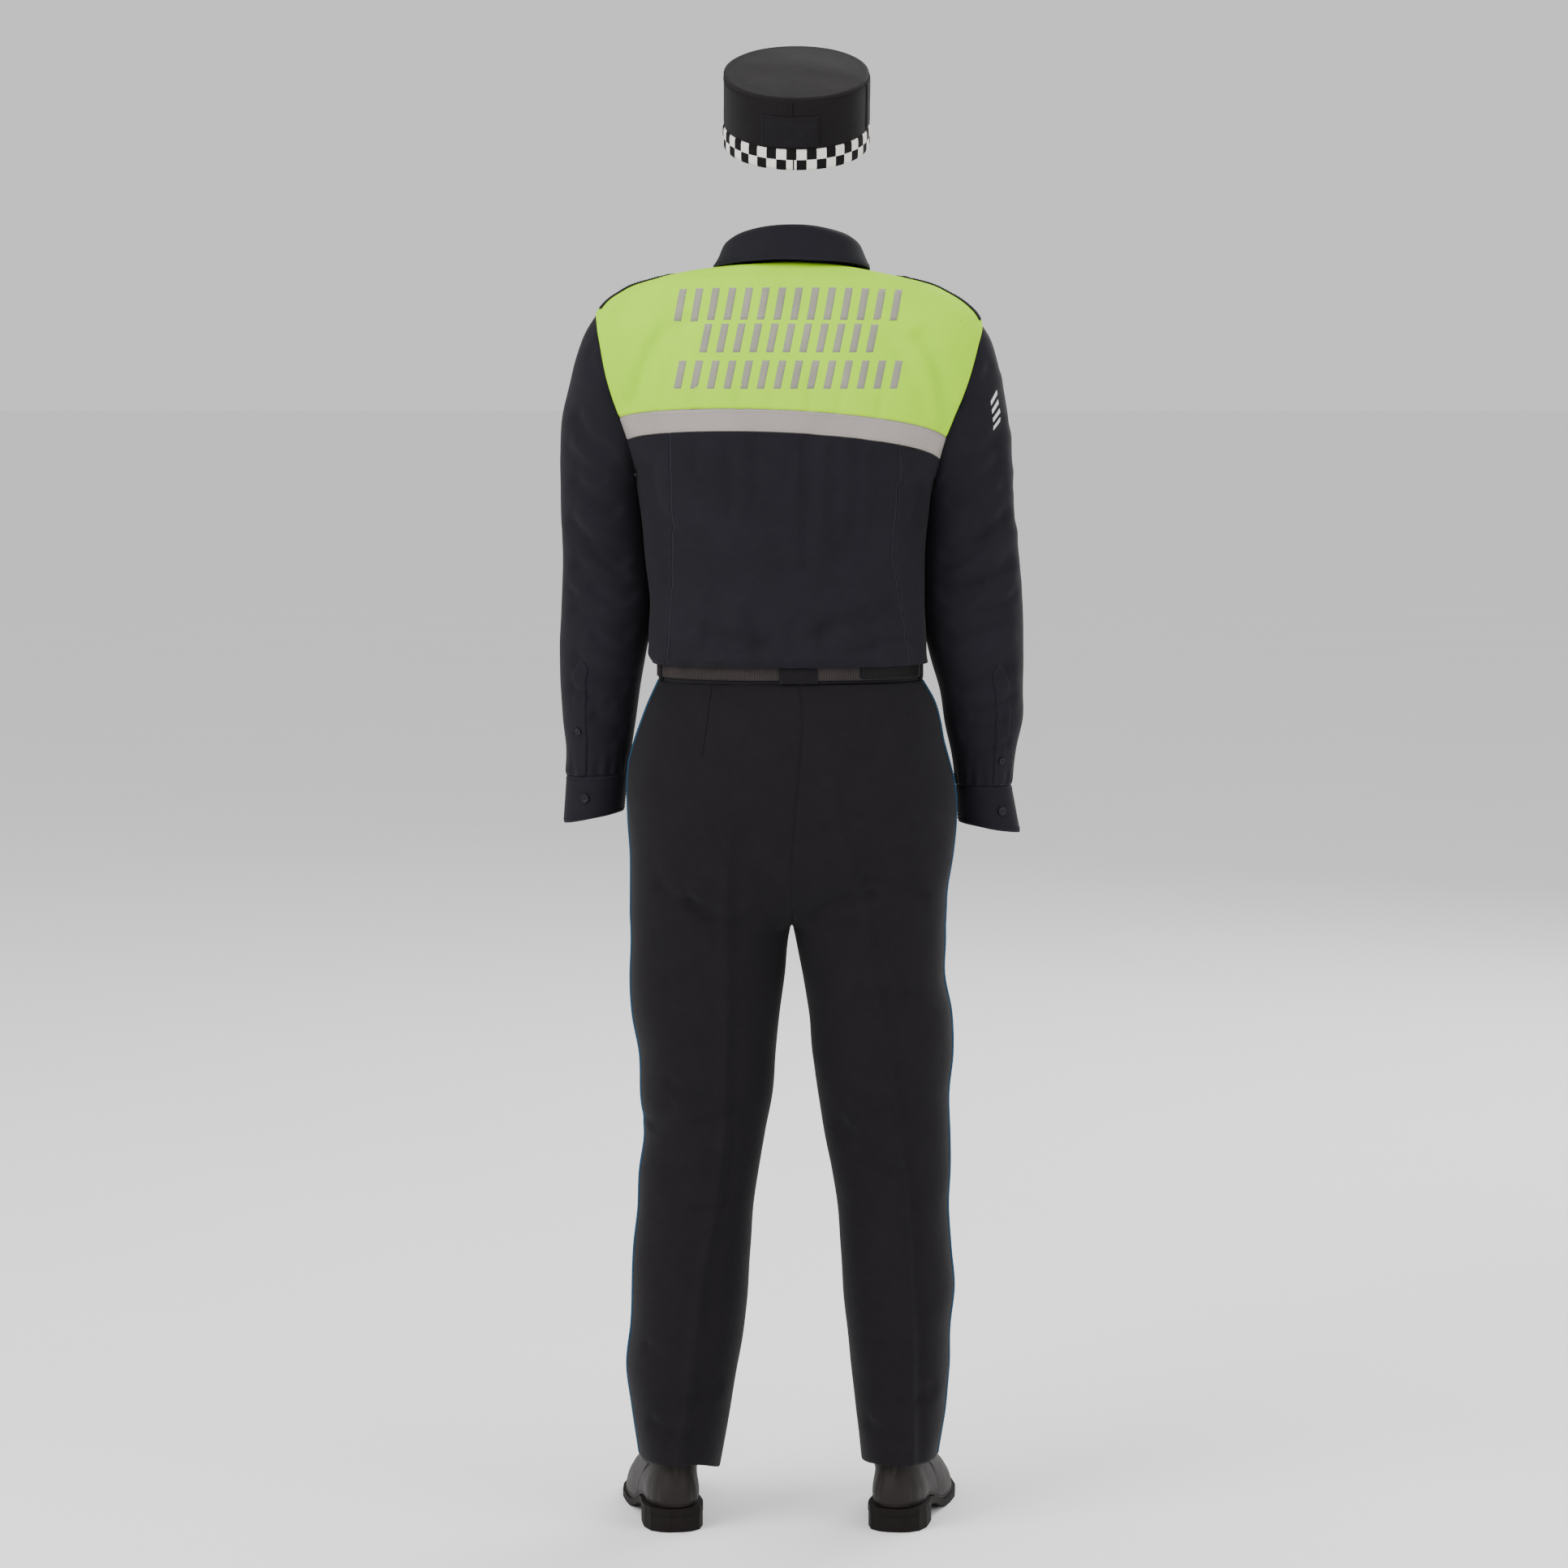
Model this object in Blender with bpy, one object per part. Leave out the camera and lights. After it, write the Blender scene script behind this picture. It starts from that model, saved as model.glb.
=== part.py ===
"""A police uniform in the pose in which it is worn, hollow: cap, shirt, trousers, belt and shoes.

Tables are in millimetres, with heights above the floor. +X is the wearer's right, +Y the wearer's front
and +Z up. Points become metres from the middle of the shoulders when a mesh is made.
"""

import math
from collections import namedtuple

import bmesh
import bpy
import numpy as np
from mathutils import Matrix, Vector

MM = 0.001
ORIGIN_HEIGHT = 1549.0
CLOTH = 2.0
THIN = 1.2
SEAM = 0.15
WALL_SETBACK = 1.0
LAID_ON = 0.3
STEP = 0.002

# Cloth body of the shirt, one row for each height
Section = namedtuple("Section", "height half_width centre back front squareness back_tilt front_tilt")
SHIRT = [
    Section(1075, 169.5, 3, 107, 113, 2.3, 0, 0),
    Section(1083, 171, 0, 111, 116, 2.3, 0, 0),
    Section(1097, 170.8, 0, 111, 117, 2.3, 0, 0),
    Section(1120, 170, 0, 109, 116, 2.3, 0, 0),
    Section(1150, 168, 0, 106, 114, 2.3, 0, 0),
    Section(1210, 170, -3, 107, 118, 2.3, 0, 0),
    Section(1255, 174, -3, 111, 121, 2.3, 0, 0),
    Section(1290, 179.5, -3, 114, 123, 2.3, 0, 0),
    Section(1312, 185.5, -0.5, 116, 124, 2.35, 0, 0),
    Section(1344, 200, 0, 119, 125, 2.4, 0, 0),
    Section(1377, 218, 0, 121, 124, 2.4, 0, 0),
    Section(1400, 229, 0, 122, 121, 2.4, 0, 0.01),
    Section(1430, 238, 0, 120, 117, 2.4, 0.01, 0.03),
    Section(1460, 241, 0, 114, 109, 2.35, 0.03, 0.06),
    Section(1485, 238, 0, 107, 102, 2.3, 0.05, 0.1),
    Section(1503, 230, -1, 100, 96, 2.2, 0.08, 0.15),
    Section(1522, 206, -4, 91, 86, 2.2, 0.14, 0.24),
    Section(1536, 172, -5, 81, 76, 2.15, 0.19, 0.34),
    Section(1547, 109, -3, 68, 68, 2.1, 0.23, 0.42),
    Section(1550, 76, 6, 58, 62, 2.0, 0.25, 0.46),
]

# Armhole, one row for each side
Armhole = namedtuple("Armhole", "bottom top half_depth")
ARMHOLES = {-1: Armhole(1312, 1503, 60), 1: Armhole(1300, 1490, 60)}

# Rows of the shirt's panels, each given by its height at the left edge, the middle and the right edge
Row = namedtuple("Row", "left middle right")
HEM_ROW = Row(1075, 1075, 1075)
BAND_LOW = Row(1349, 1359, 1325)
BAND_HIGH = Row(1377, 1387, 1353)
LOWER_ROWS = [
    HEM_ROW,
    Row(1083, 1083, 1083),
    Row(1100, 1100, 1100),
    Row(1130, 1130, 1130),
    Row(1170, 1170, 1168),
    Row(1210, 1211, 1205),
    Row(1250, 1252, 1242),
    Row(1285, 1290, 1274),
    Row(1312, 1318, 1300),
    Row(1328, 1337, 1310),
    BAND_LOW,
]
YOKE_ROWS = [
    BAND_HIGH,
    Row(1402, 1410, 1380),
    Row(1430, 1434, 1410),
    Row(1457, 1459, 1438),
    Row(1480, 1480, 1463),
    Row(1495, 1496, 1480),
    Row(1503, 1505, 1490),
    Row(1513, 1514, 1503),
    Row(1523, 1523, 1517),
    Row(1531, 1531, 1529),
    Row(1538, 1538, 1537),
    Row(1544, 1544, 1544),
    Row(1550, 1550, 1550),
]

# Princess seams, as shares of the half width at each height
SeamPlace = namedtuple("SeamPlace", "height left right")
PRINCESS = [
    SeamPlace(1075, 0.66, 0.64),
    SeamPlace(1110, 0.66, 0.64),
    SeamPlace(1170, 0.57, 0.57),
    SeamPlace(1210, 0.56, 0.53),
    SeamPlace(1250, 0.58, 0.57),
    SeamPlace(1290, 0.60, 0.63),
    SeamPlace(1349, 0.62, 0.62),
]

# Sleeves, one row for each ring; outer and inner edges are measured from the middle of the body
SleeveRing = namedtuple("SleeveRing", "along outer_x outer_z inner_x inner_z middle_y half_depth")
SLEEVES = {
    -1: [
        SleeveRing(0, 230, 1503, 186, 1312, 0, 60),
        SleeveRing(25, 245, 1480, 187.2, 1305, 2, 61),
        SleeveRing(55, 257, 1450, 187, 1298, 6, 61),
        SleeveRing(90, 267, 1414, 185.5, 1290, 12, 60),
        SleeveRing(130, 276, 1374, 183, 1279, 19, 59),
        SleeveRing(175, 279, 1330, 180, 1264, 26, 57),
        SleeveRing(220, 279, 1286, 177, 1244, 31, 55),
        SleeveRing(265, 278.5, 1242, 174, 1218, 34, 54),
        SleeveRing(305, 277, 1201, 171.2, 1190, 36, 55),
        SleeveRing(345, 278, 1161, 168.6, 1156, 37, 57),
        SleeveRing(385, 280, 1121, 169.6, 1119, 38, 58),
        SleeveRing(425, 281, 1079, 175.2, 1079, 40, 57),
        SleeveRing(462, 280.5, 1042, 181.5, 1042, 42, 53),
        SleeveRing(500, 278, 1003, 187, 1002, 44, 47),
        SleeveRing(535, 274, 966, 193, 964, 46, 42),
        SleeveRing(566, 274, 932, 197.5, 934, 48, 38),
    ],
    1: [
        SleeveRing(0, 236, 1490, 182, 1300, 0, 60),
        SleeveRing(25, 247, 1472, 182.2, 1294, 2, 61),
        SleeveRing(55, 256, 1445, 180, 1287, 6, 61),
        SleeveRing(90, 265, 1410, 177.8, 1279, 12, 60),
        SleeveRing(130, 272, 1371, 175.5, 1268, 19, 60),
        SleeveRing(175, 276, 1326, 172.5, 1253, 26, 59),
        SleeveRing(220, 278.5, 1281, 169.9, 1234, 31, 58),
        SleeveRing(265, 282, 1238, 167.6, 1211, 34, 58),
        SleeveRing(305, 286.5, 1197, 167.2, 1184, 36, 59),
        SleeveRing(345, 290, 1157, 167.8, 1150, 37, 60),
        SleeveRing(385, 292, 1117, 171, 1113, 38, 60),
        SleeveRing(425, 292, 1075, 178.5, 1073, 40, 58),
        SleeveRing(462, 291.5, 1038, 189, 1036, 42, 54),
        SleeveRing(500, 292, 1000, 195, 996, 44, 49),
        SleeveRing(535, 284, 964, 203, 960, 46, 43),
        SleeveRing(575, 278, 920, 209, 920, 48, 38),
    ],
}
CUFFS = {
    -1: [
        SleeveRing(0, 274, 932, 197.5, 934, 48, 38),
        SleeveRing(60, 278, 872, 202, 887, 50, 37),
    ],
    1: [
        SleeveRing(0, 278, 920, 209, 920, 48, 38),
        SleeveRing(58, 290, 860, 212, 873, 51, 37),
    ],
}
SLEEVE_BLEND = 110
SleeveButtons = namedtuple("SleeveButtons", "cuff_turn cuff_along placket_turn placket_along")
SLEEVE_BUTTONS = {-1: SleeveButtons(72, 30, 58, 512), 1: SleeveButtons(62, 32, 60, 545)}
BUTTON_WALL = 2.2
BUTTON_RADIUS = 5.5
SMALL_BUTTON_RADIUS = 4.5
EPAULETTE_BUTTON_RADIUS = 6.0
PLACKET_SHARE = 0.075
SHIRT_BUTTON_HEIGHTS = (1492, 1420, 1340, 1260, 1180)

# Epaulettes, each from the sleeve seam towards the collar
Epaulette = namedtuple("Epaulette", "low high half_width")
EPAULETTES = {-1: Epaulette(1505, 1546.5, 22), 1: Epaulette(1492, 1544, 22)}
EPAULETTE_LIFT = 0.9
EPAULETTE_WALL = 1.5

# Trousers, one row for each height; above the crotch the two inner edges are the centre seam
Leg = namedtuple("Leg", "height left_outer left_inner right_inner right_outer back front squareness")
TROUSERS = [
    Leg(88, -184, -84, 92, 187, 81, 77, 2.1),
    Leg(150, -192.5, -70.7, 85, 197, 82, 76, 2.1),
    Leg(200, -199, -61.6, 79, 201, 85, 74, 2.1),
    Leg(249, -194, -53, 74, 201.5, 86, 75, 2.1),
    Leg(298, -192, -48, 69, 207, 84, 78, 2.1),
    Leg(347, -190, -45, 66.5, 202.5, 80, 83, 2.1),
    Leg(396, -184.5, -42, 63, 199.5, 77, 88, 2.1),
    Leg(445, -182.5, -35, 55, 201, 77, 92, 2.1),
    Leg(493, -176.5, -27, 46, 201, 80, 94, 2.1),
    Leg(542, -181, -18, 38, 199, 86, 96, 2.15),
    Leg(591, -182, -14, 31, 204, 91, 98, 2.2),
    Leg(640, -191, -9, 27, 203, 95, 100, 2.2),
    Leg(688, -193.5, -3, 19, 193.5, 99, 102, 2.2),
    Leg(737, -192, 2, 9.5, 194.5, 105, 104, 2.2),
    Leg(750, -192, 4.4, 6.8, 194.5, 107, 105, 2.2),
    Leg(761, -192.5, 4.8, 6.4, 195, 110, 106, 2.2),
    Leg(790, -192.5, 5.3, 6.1, 196, 116, 108, 2.25),
    Leg(834, -192.5, 6, 6, 203, 123, 111, 2.3),
    Leg(882, -196, 10, 10, 207.5, 129, 115, 2.3),
    Leg(930, -196.5, 14, 14, 205, 129, 117, 2.3),
    Leg(954, -194, 16, 16, 198.5, 126, 116, 2.3),
    Leg(978, -187.5, 18, 18, 192, 121, 113, 2.3),
    Leg(1002, -179, 20, 20, 188, 114, 109, 2.3),
    Leg(1026, -170, 19, 19, 181, 106, 105, 2.3),
    Leg(1054, -157.5, 16, 16, 164.5, 98, 103, 2.3),
]
CROTCH = 750
HEM_LIFT_FRONT = 10
HEM_DROP_INSIDE = {-1: 16, 1: 6}
HEM_REACH = 120
SEAM_FADE = 4
STRIPE_SHARE = 0.05
BACK_COLUMNS = (0, STRIPE_SHARE, 0.17, 0.3, 0.44, 0.58, 0.72, 0.86, 1)
FRONT_COLUMNS = (0, STRIPE_SHARE, 0.2, 0.36, 0.52, 0.68, 0.84, 1)
SEAT_TOP = 850
THIGH_TOP = 890
THIGH_LOW = 640
LEG_ROWS = [
    88, 140, 195, 250, 305, 355, 405, 450, 493, 540, 590, 640, 688, 725, 750,
    754, 765, 785, 812, 850, 900, 950, 1000, 1030, 1053.7,
]

# Waist, all on one ring
WAIST = Section(1054, 161, 3.5, 98, 103, 2.3, 0, 0)
WAISTBAND_LOW = 1054
WAISTBAND_HIGH = 1090
BELT_LOW = 1059
BELT_HIGH = 1088
BELT_WALL = 2.5
LOOP_LOW = 1055.3
LOOP_HIGH = 1089.8
LOOP_ROWS = (LOOP_LOW, 1056.4, 1057.5, 1088.4, 1089.1, LOOP_HIGH)
BeltLoop = namedtuple("BeltLoop", "name turn width spread columns")
BELT_LOOPS = [
    BeltLoop("belt_loop_back", 3.5, 45, 1.55, 8),
    BeltLoop("belt_loop_back_L", -72, 9, 1.2, 3),
    BeltLoop("belt_loop_back_R", 76, 9, 1.2, 3),
    BeltLoop("belt_loop_front_L", -140, 9, 1.4, 3),
    BeltLoop("belt_loop_front_R", 140, 9, 1.4, 3),
]
BUCKLE = (46, 34, 3)

# Neck and collar, one row for each ring from the neck seam up and over
CollarRing = namedtuple("CollarRing", "along half_width centre back front back_z side_z front_z")
STAND = [
    CollarRing(0, 76, 6, 58, 62, 1566, 1551, 1523),
    CollarRing(34, 73, 6, 59, 62, 1607, 1588, 1555),
]
LEAF = [
    CollarRing(0, 74.6, 6, 60.6, 63.6, 1609.5, 1590.5, 1557.5),
    CollarRing(14, 83, 6, 69, 77, 1604, 1584, 1550),
    CollarRing(30, 90, 6, 75, 89, 1586, 1569, 1532),
    CollarRing(48, 97, 5, 82, 103, 1567, 1556.5, 1514),
]
LEAF_OPENING = 14.0
STAND_OPENING = 5.0
COLLAR_POINT_DROP = 24.0
COLLAR_POINT_REACH = 0.25
COLLAR_BEND = 1.3

# Folds and ridges: a line from one point to another, bowed sideways, with its width and its depth
Fold = namedtuple("Fold", "x1 z1 x2 z2 bow width depth")
SHIRT_BACK_FOLDS = [
    Fold(-192, 1386, -108, 1500, 16, 13, -6),
    Fold(-150, 1392, -122, 1480, 6, 10, -3),
    Fold(199, 1366, 152, 1478, -14, 13, -6),
    Fold(172, 1380, 100, 1500, -10, 12, -3),
    Fold(-74, 1350, -70, 1250, 2, 9, -3.5),
    Fold(20, 1352, 22, 1190, 3, 9, -4),
    Fold(46, 1352, 44, 1210, -3, 8, 3),
    Fold(83, 1350, 78, 1230, 2, 9, -3.5),
    Fold(-128, 1130, -20, 1102, -8, 12, -4),
    Fold(30, 1112, 140, 1140, 8, 12, -4),
    Fold(-60, 1160, -58, 1096, 0, 12, 4),
    Fold(70, 1150, 74, 1096, 0, 12, 4),
]
SHIRT_FRONT_FOLDS = [
    Fold(-190, 1380, -120, 1490, 12, 14, -5),
    Fold(190, 1370, 120, 1485, -12, 14, -5),
    Fold(-80, 1350, -72, 1200, 3, 12, -3),
    Fold(84, 1350, 76, 1190, -3, 12, -3),
    Fold(-120, 1110, -30, 1095, -6, 12, -3.5),
    Fold(34, 1094, 130, 1112, 6, 12, -3.5),
]
LEFT_SLEEVE_FOLDS = [
    Fold(-262, 1300, -205, 1262, -6, 11, -5),
    Fold(-268, 1250, -196, 1200, -8, 11, -6),
    Fold(-262, 1196, -186, 1158, -8, 11, -6),
    Fold(-266, 1140, -190, 1112, -6, 12, -5),
    Fold(-262, 1082, -196, 1046, -6, 11, -5),
    Fold(-240, 1010, -200, 990, -4, 10, -4),
]
RIGHT_SLEEVE_FOLDS = [
    Fold(262, 1330, 196, 1270, 8, 12, -5),
    Fold(272, 1258, 190, 1206, 8, 12, -6),
    Fold(276, 1196, 186, 1160, 8, 12, -7),
    Fold(272, 1128, 190, 1098, 6, 12, -6),
    Fold(276, 1072, 204, 1040, 6, 12, -5),
    Fold(270, 1004, 214, 984, 4, 10, -4),
]
TROUSER_BACK_FOLDS = [
    Fold(-70, 878, -74, 690, -3, 7, 3.5),
    Fold(-74, 690, -78, 500, 0, 7, 4.5),
    Fold(-78, 500, -104, 330, 2, 7, 5),
    Fold(-104, 330, -133, 88, 0, 7, 5.5),
    Fold(52, 935, 92, 790, -2, 7, 3),
    Fold(92, 790, 120, 590, -1, 7, 4),
    Fold(120, 590, 143, 400, 0, 7, 5),
    Fold(143, 400, 152, 88, 3, 7, 5.5),
    Fold(-124, 792, -46, 766, -10, 10, -6),
    Fold(-92, 748, -38, 764, -8, 9, -4),
    Fold(28, 770, 110, 800, 8, 10, -5),
    Fold(80, 672, 148, 668, 6, 10, -4),
    Fold(60, 516, 112, 478, -6, 11, -5),
    Fold(-140, 540, -172, 506, 4, 11, -4),
]
TROUSER_FRONT_FOLDS = [
    Fold(-70, 950, -80, 600, -2, 7, 3.5),
    Fold(-80, 600, -110, 300, 0, 7, 5),
    Fold(-110, 300, -135, 88, 0, 7, 5.5),
    Fold(80, 950, 100, 600, 2, 7, 3.5),
    Fold(100, 600, 133, 300, 0, 7, 5),
    Fold(133, 300, 150, 88, 0, 7, 5.5),
    Fold(-60, 790, -8, 758, 6, 10, -5),
    Fold(66, 790, 18, 758, -6, 10, -5),
]

# Cap, measured in its own frame and then tilted back
CAP_CENTRE = (11.0, 22.0, 1710.0)
CAP_TILT = 20.0
CAP_HALF_WIDTH = 88.5
CAP_HALF_LENGTH = 105.0
CAP_HEIGHT = 86.0
CAP_BAND_HEIGHT = 26.0
CAP_WALL = 2.5
CROWN_RISE = 5.0
PEAK_REACH = 46.0
PEAK_HALF_TURN = 62.0
PEAK_START = 2.9
PEAK_SEAT = 7.0
PEAK_SLOPE = 0.38
PEAK_SPREAD = 0.55
PEAK_EDGE = 0.04
CAP_SQUARENESS = 2.1
CapPiece = namedtuple("CapPiece", "start end low high")
CAP_LAYER = CapPiece(70, 260, 27.5, 85)
CAP_PATCH = CapPiece(-27.5, 17, 29, 66)

# Shoes, one row for each station from the heel; widths are to each side of the last's line
Station = namedtuple("Station", "along inside outside")
SHOE_OUTLINE = [
    Station(0, 0, 0),
    Station(4, 20, 20),
    Station(14, 31, 31),
    Station(35, 37, 37.5),
    Station(75, 36, 38),
    Station(120, 36, 42),
    Station(175, 42, 49),
    Station(215, 44, 50),
    Station(250, 38, 43),
    Station(276, 25, 29),
    Station(288, 12, 15),
    Station(292, 0, 0),
]
SHOES = {-1: (-137.5, -62.0, 6.0), 1: (131.5, -62.0, 9.0)}
HEEL_LENGTH = 74.0
HEEL_HEIGHT = 20.0
HEEL_INSET = 0.6
HEEL_STATIONS = (0.6, 4, 14, 35, 60, HEEL_LENGTH)
SOLE_WALL = 9.0
SOLE_STATIONS = (0, 4, 14, 30, 50, 76, 100, 125, 150, 175, 205, 235, 262, 280, 292)
TOE_SPRING = 5.0
END_HALF_WIDTH = 9.0
WELT = 2.5
Ankle = namedtuple("Ankle", "along half_length half_width back_z side_z front_z lean")
ANKLE = Ankle(60, 51, 33, 88, 80, 97, 1.8)
TOE_ROUNDNESS = 0.35


def srgb(red, green, blue):
    """A colour for a shader, from red, green and blue of 0 to 255."""
    shares = [value / 255 for value in (red, green, blue)]
    return [s / 12.92 if s <= 0.04045 else ((s + 0.055) / 1.055) ** 2.4 for s in shares]


NAVY = ("navy_shirting", srgb(37, 36, 46), 0.85, 0.0)
HI_VIS = ("hi_vis_yellow", srgb(200, 235, 40), 0.7, 0.0)
REFLECTIVE = ("reflective_grey", srgb(165, 157, 152), 0.45, 0.0)
BLACK_WOOL = ("trouser_black", srgb(36, 33, 38), 0.9, 0.0)
STEEL_BLUE = ("stripe_blue", srgb(58, 107, 140), 0.7, 0.0)
CAP_CLOTH = ("cap_cloth", srgb(50, 45, 48), 0.9, 0.0)
CHECK_CLOTH = ("cap_check", srgb(150, 147, 144), 0.8, 0.0)
PATCH = ("loop_patch", srgb(40, 37, 40), 0.95, 0.0)
WEBBING = ("belt_webbing", srgb(30, 29, 31), 0.8, 0.0)
STEEL = ("buckle_steel", srgb(120, 120, 122), 0.35, 1.0)
BUTTON = ("button_plastic", srgb(24, 24, 30), 0.35, 0.0)
LEATHER = ("shoe_leather", srgb(40, 36, 35), 0.35, 0.0)
RUBBER = ("shoe_rubber", srgb(28, 26, 26), 0.7, 0.0)


def empty_scene():
    """Removes what a new file holds."""
    for thing in list(bpy.data.objects):
        bpy.data.objects.remove(thing, do_unlink=True)


def column(table, name, key):
    """One column of a table at any key, on a smooth curve through its rows."""
    keys = np.array([row[0] for row in table], float)
    values = np.array([getattr(row, name) for row in table], float)
    slopes = np.gradient(values, keys)
    low = np.clip(np.searchsorted(keys, key, side="right") - 1, 0, len(keys) - 2)
    span = keys[low + 1] - keys[low]
    t = np.clip((key - keys[low]) / span, 0, 1)
    rise = 3 * t**2 - 2 * t**3
    leave = span * slopes[low] * (t**3 - 2 * t**2 + t)
    reach = span * slopes[low + 1] * (t**3 - t**2)
    return values[low] * (1 - rise) + values[low + 1] * rise + leave + reach


def smooth(t):
    """A step from 0 to 1 with soft ends."""
    t = np.clip(t, 0, 1)
    return t * t * (3 - 2 * t)


def rounded(angle, squareness):
    """Across and along on a superellipse of half sizes 1, at an angle in radians from the along axis."""
    across, along = np.sin(angle), np.cos(angle)
    reach = (np.abs(across) ** squareness + np.abs(along) ** squareness) ** (-1 / squareness)
    return across * reach, along * reach


def blended_row(rows, place, share):
    """The height of a panel's row at a share of the half width; place may lie between two rows."""
    low = np.clip(np.floor(place).astype(int), 0, len(rows) - 2)
    part = place - low
    table = np.array(rows, float)
    left, middle, right = (table[low, k] * (1 - part) + table[low + 1, k] * part for k in range(3))
    return middle + (right - left) / 2 * share + ((left + right) / 2 - middle) * share**2


def armhole_depth(share, height):
    """How far behind the side the armhole's edge lies, at each height of either side."""
    depths = []
    for side in (-1, 1):
        hole = ARMHOLES[side]
        middle, half = (hole.top + hole.bottom) / 2, (hole.top - hole.bottom) / 2
        depths.append(hole.half_depth * np.sqrt(np.clip(1 - ((height - middle) / half) ** 2, 0, 1)))
    return np.where(share < 0, depths[0], depths[1])


def shirt_body(face):
    """The shirt's back (face -1) or front (face 1), by share of the half width and height."""

    def surface(share, height):
        depth = column(SHIRT, "back" if face < 0 else "front", height)
        square = column(SHIRT, "squareness", height)
        cut = np.clip(armhole_depth(share, height) / depth, 0, 1)
        limit = np.arctan2((1 - cut**square) ** (1 / square), cut)
        across, along = rounded(share * limit, square)
        x = column(SHIRT, "centre", height) + column(SHIRT, "half_width", height) * across
        y = face * depth * along
        z = height - column(SHIRT, "back_tilt" if face < 0 else "front_tilt", height) * y
        return np.stack([x, y, z], -1)

    return surface


def armhole_loop(side, turn):
    """The armhole's edge on the shirt body, by turn in degrees from the shoulder over the back."""
    hole = ARMHOLES[side]
    height = (hole.top + hole.bottom) / 2 + (hole.top - hole.bottom) / 2 * np.cos(np.radians(turn))
    share = np.full_like(height, float(side))
    back, front = shirt_body(-1)(share, height), shirt_body(1)(share, height)
    behind = (np.sin(np.radians(turn)) > 0)[..., None]
    return np.where(behind, back, front) + np.array([side * LAID_ON, 0, 0])


def ring_of(table, side, turn, along):
    """A point on a tube whose rings are given by their outer and inner edges."""
    outer_x, outer_z = column(table, "outer_x", along), column(table, "outer_z", along)
    inner_x, inner_z = column(table, "inner_x", along), column(table, "inner_z", along)
    lift, swing = np.cos(np.radians(turn)), np.sin(np.radians(turn))
    x = side * ((outer_x + inner_x) / 2 + lift * (outer_x - inner_x) / 2)
    y = column(table, "middle_y", along) - swing * column(table, "half_depth", along)
    z = (outer_z + inner_z) / 2 + lift * (outer_z - inner_z) / 2
    return np.stack([x, y, z], -1)


def sleeve_tube(side):
    """A sleeve, by turn in degrees and millimetres along it; its first ring is the armhole."""

    def surface(turn, along):
        turn = turn % 360
        points = ring_of(SLEEVES[side], side, turn, along)
        first = ring_of(SLEEVES[side], side, turn, np.zeros_like(along))
        take = (1 - smooth(along / SLEEVE_BLEND))[..., None]
        return points + take * (armhole_loop(side, turn) - first)

    return surface


def cuff_tube(side):
    """A cuff, by turn in degrees and millimetres along it."""
    return lambda turn, along: ring_of(CUFFS[side], side, turn, along)


def trouser_panel(side, face):
    """A quarter of the trousers, by share from the side seam to the inner edge, and height."""
    name = "left" if side < 0 else "right"

    def surface(share, height):
        outer = column(TROUSERS, name + "_outer", height)
        inner = column(TROUSERS, name + "_inner", height)
        depth = column(TROUSERS, "back" if face < 0 else "front", height)
        square = column(TROUSERS, "squareness", height)
        drop = np.clip((SEAT_TOP - height) / (SEAT_TOP - CROTCH), 0, 1)
        crotch_curve = 1 - np.sqrt(1 - drop**2)
        thigh_curve = smooth((THIGH_TOP - height) / (THIGH_TOP - THIGH_LOW))
        near_seam = np.clip(share, 0, 1) ** SEAM_FADE
        parted = thigh_curve + (crotch_curve - thigh_curve) * near_seam
        body_across, body_along = rounded(np.radians(90) * (1 - share), square)
        leg_across, leg_along = rounded(np.radians(90) * (1 - 2 * share), square)
        middle = (outer + inner) / 2
        body_x = inner + (outer - inner) * body_across
        leg_x = middle + (outer - middle) * leg_across
        x = body_x + (leg_x - body_x) * parted
        y = face * depth * (body_along + (leg_along - body_along) * parted)
        near_hem = 1 - smooth((height - TROUSERS[0].height) / HEM_REACH)
        lift = HEM_LIFT_FRONT * np.clip(y / depth, 0, 1) - HEM_DROP_INSIDE[side] * smooth(2.5 * share - 1.5)
        return np.stack([x, y, height + near_hem * lift], -1)

    return surface


def side_strip(back, front):
    """A strip over a side seam: shares below 0 lie on the back panel, shares above 0 on the front."""

    def surface(share, height):
        behind, before = back(np.abs(share), height), front(np.abs(share), height)
        return np.where((share < 0)[..., None], behind, before)

    return surface


def shoulder_strip(side):
    """A strip along the shoulder seam, by millimetres towards the front, and height of the seam."""

    def surface(forward, height):
        behind = forward < 0
        depth = np.where(behind, column(SHIRT, "back", height), column(SHIRT, "front", height))
        tilt = np.where(behind, column(SHIRT, "back_tilt", height), column(SHIRT, "front_tilt", height))
        square = column(SHIRT, "squareness", height)
        reach = (1 - np.clip(np.abs(forward) / depth, 0, 1) ** square) ** (1 / square)
        x = column(SHIRT, "centre", height) + side * column(SHIRT, "half_width", height) * reach
        return np.stack([x, forward + 0 * x, height - tilt * forward], -1)

    return surface


def waist_ring(turn, height):
    """The waistband's outer face, by turn in degrees from the middle of the back, and height."""
    across, along = rounded(np.radians(turn), WAIST.squareness)
    depth = np.where(along > 0, WAIST.back, WAIST.front)
    return np.stack([WAIST.centre + WAIST.half_width * across, -depth * along, height + 0 * across], -1)


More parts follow.
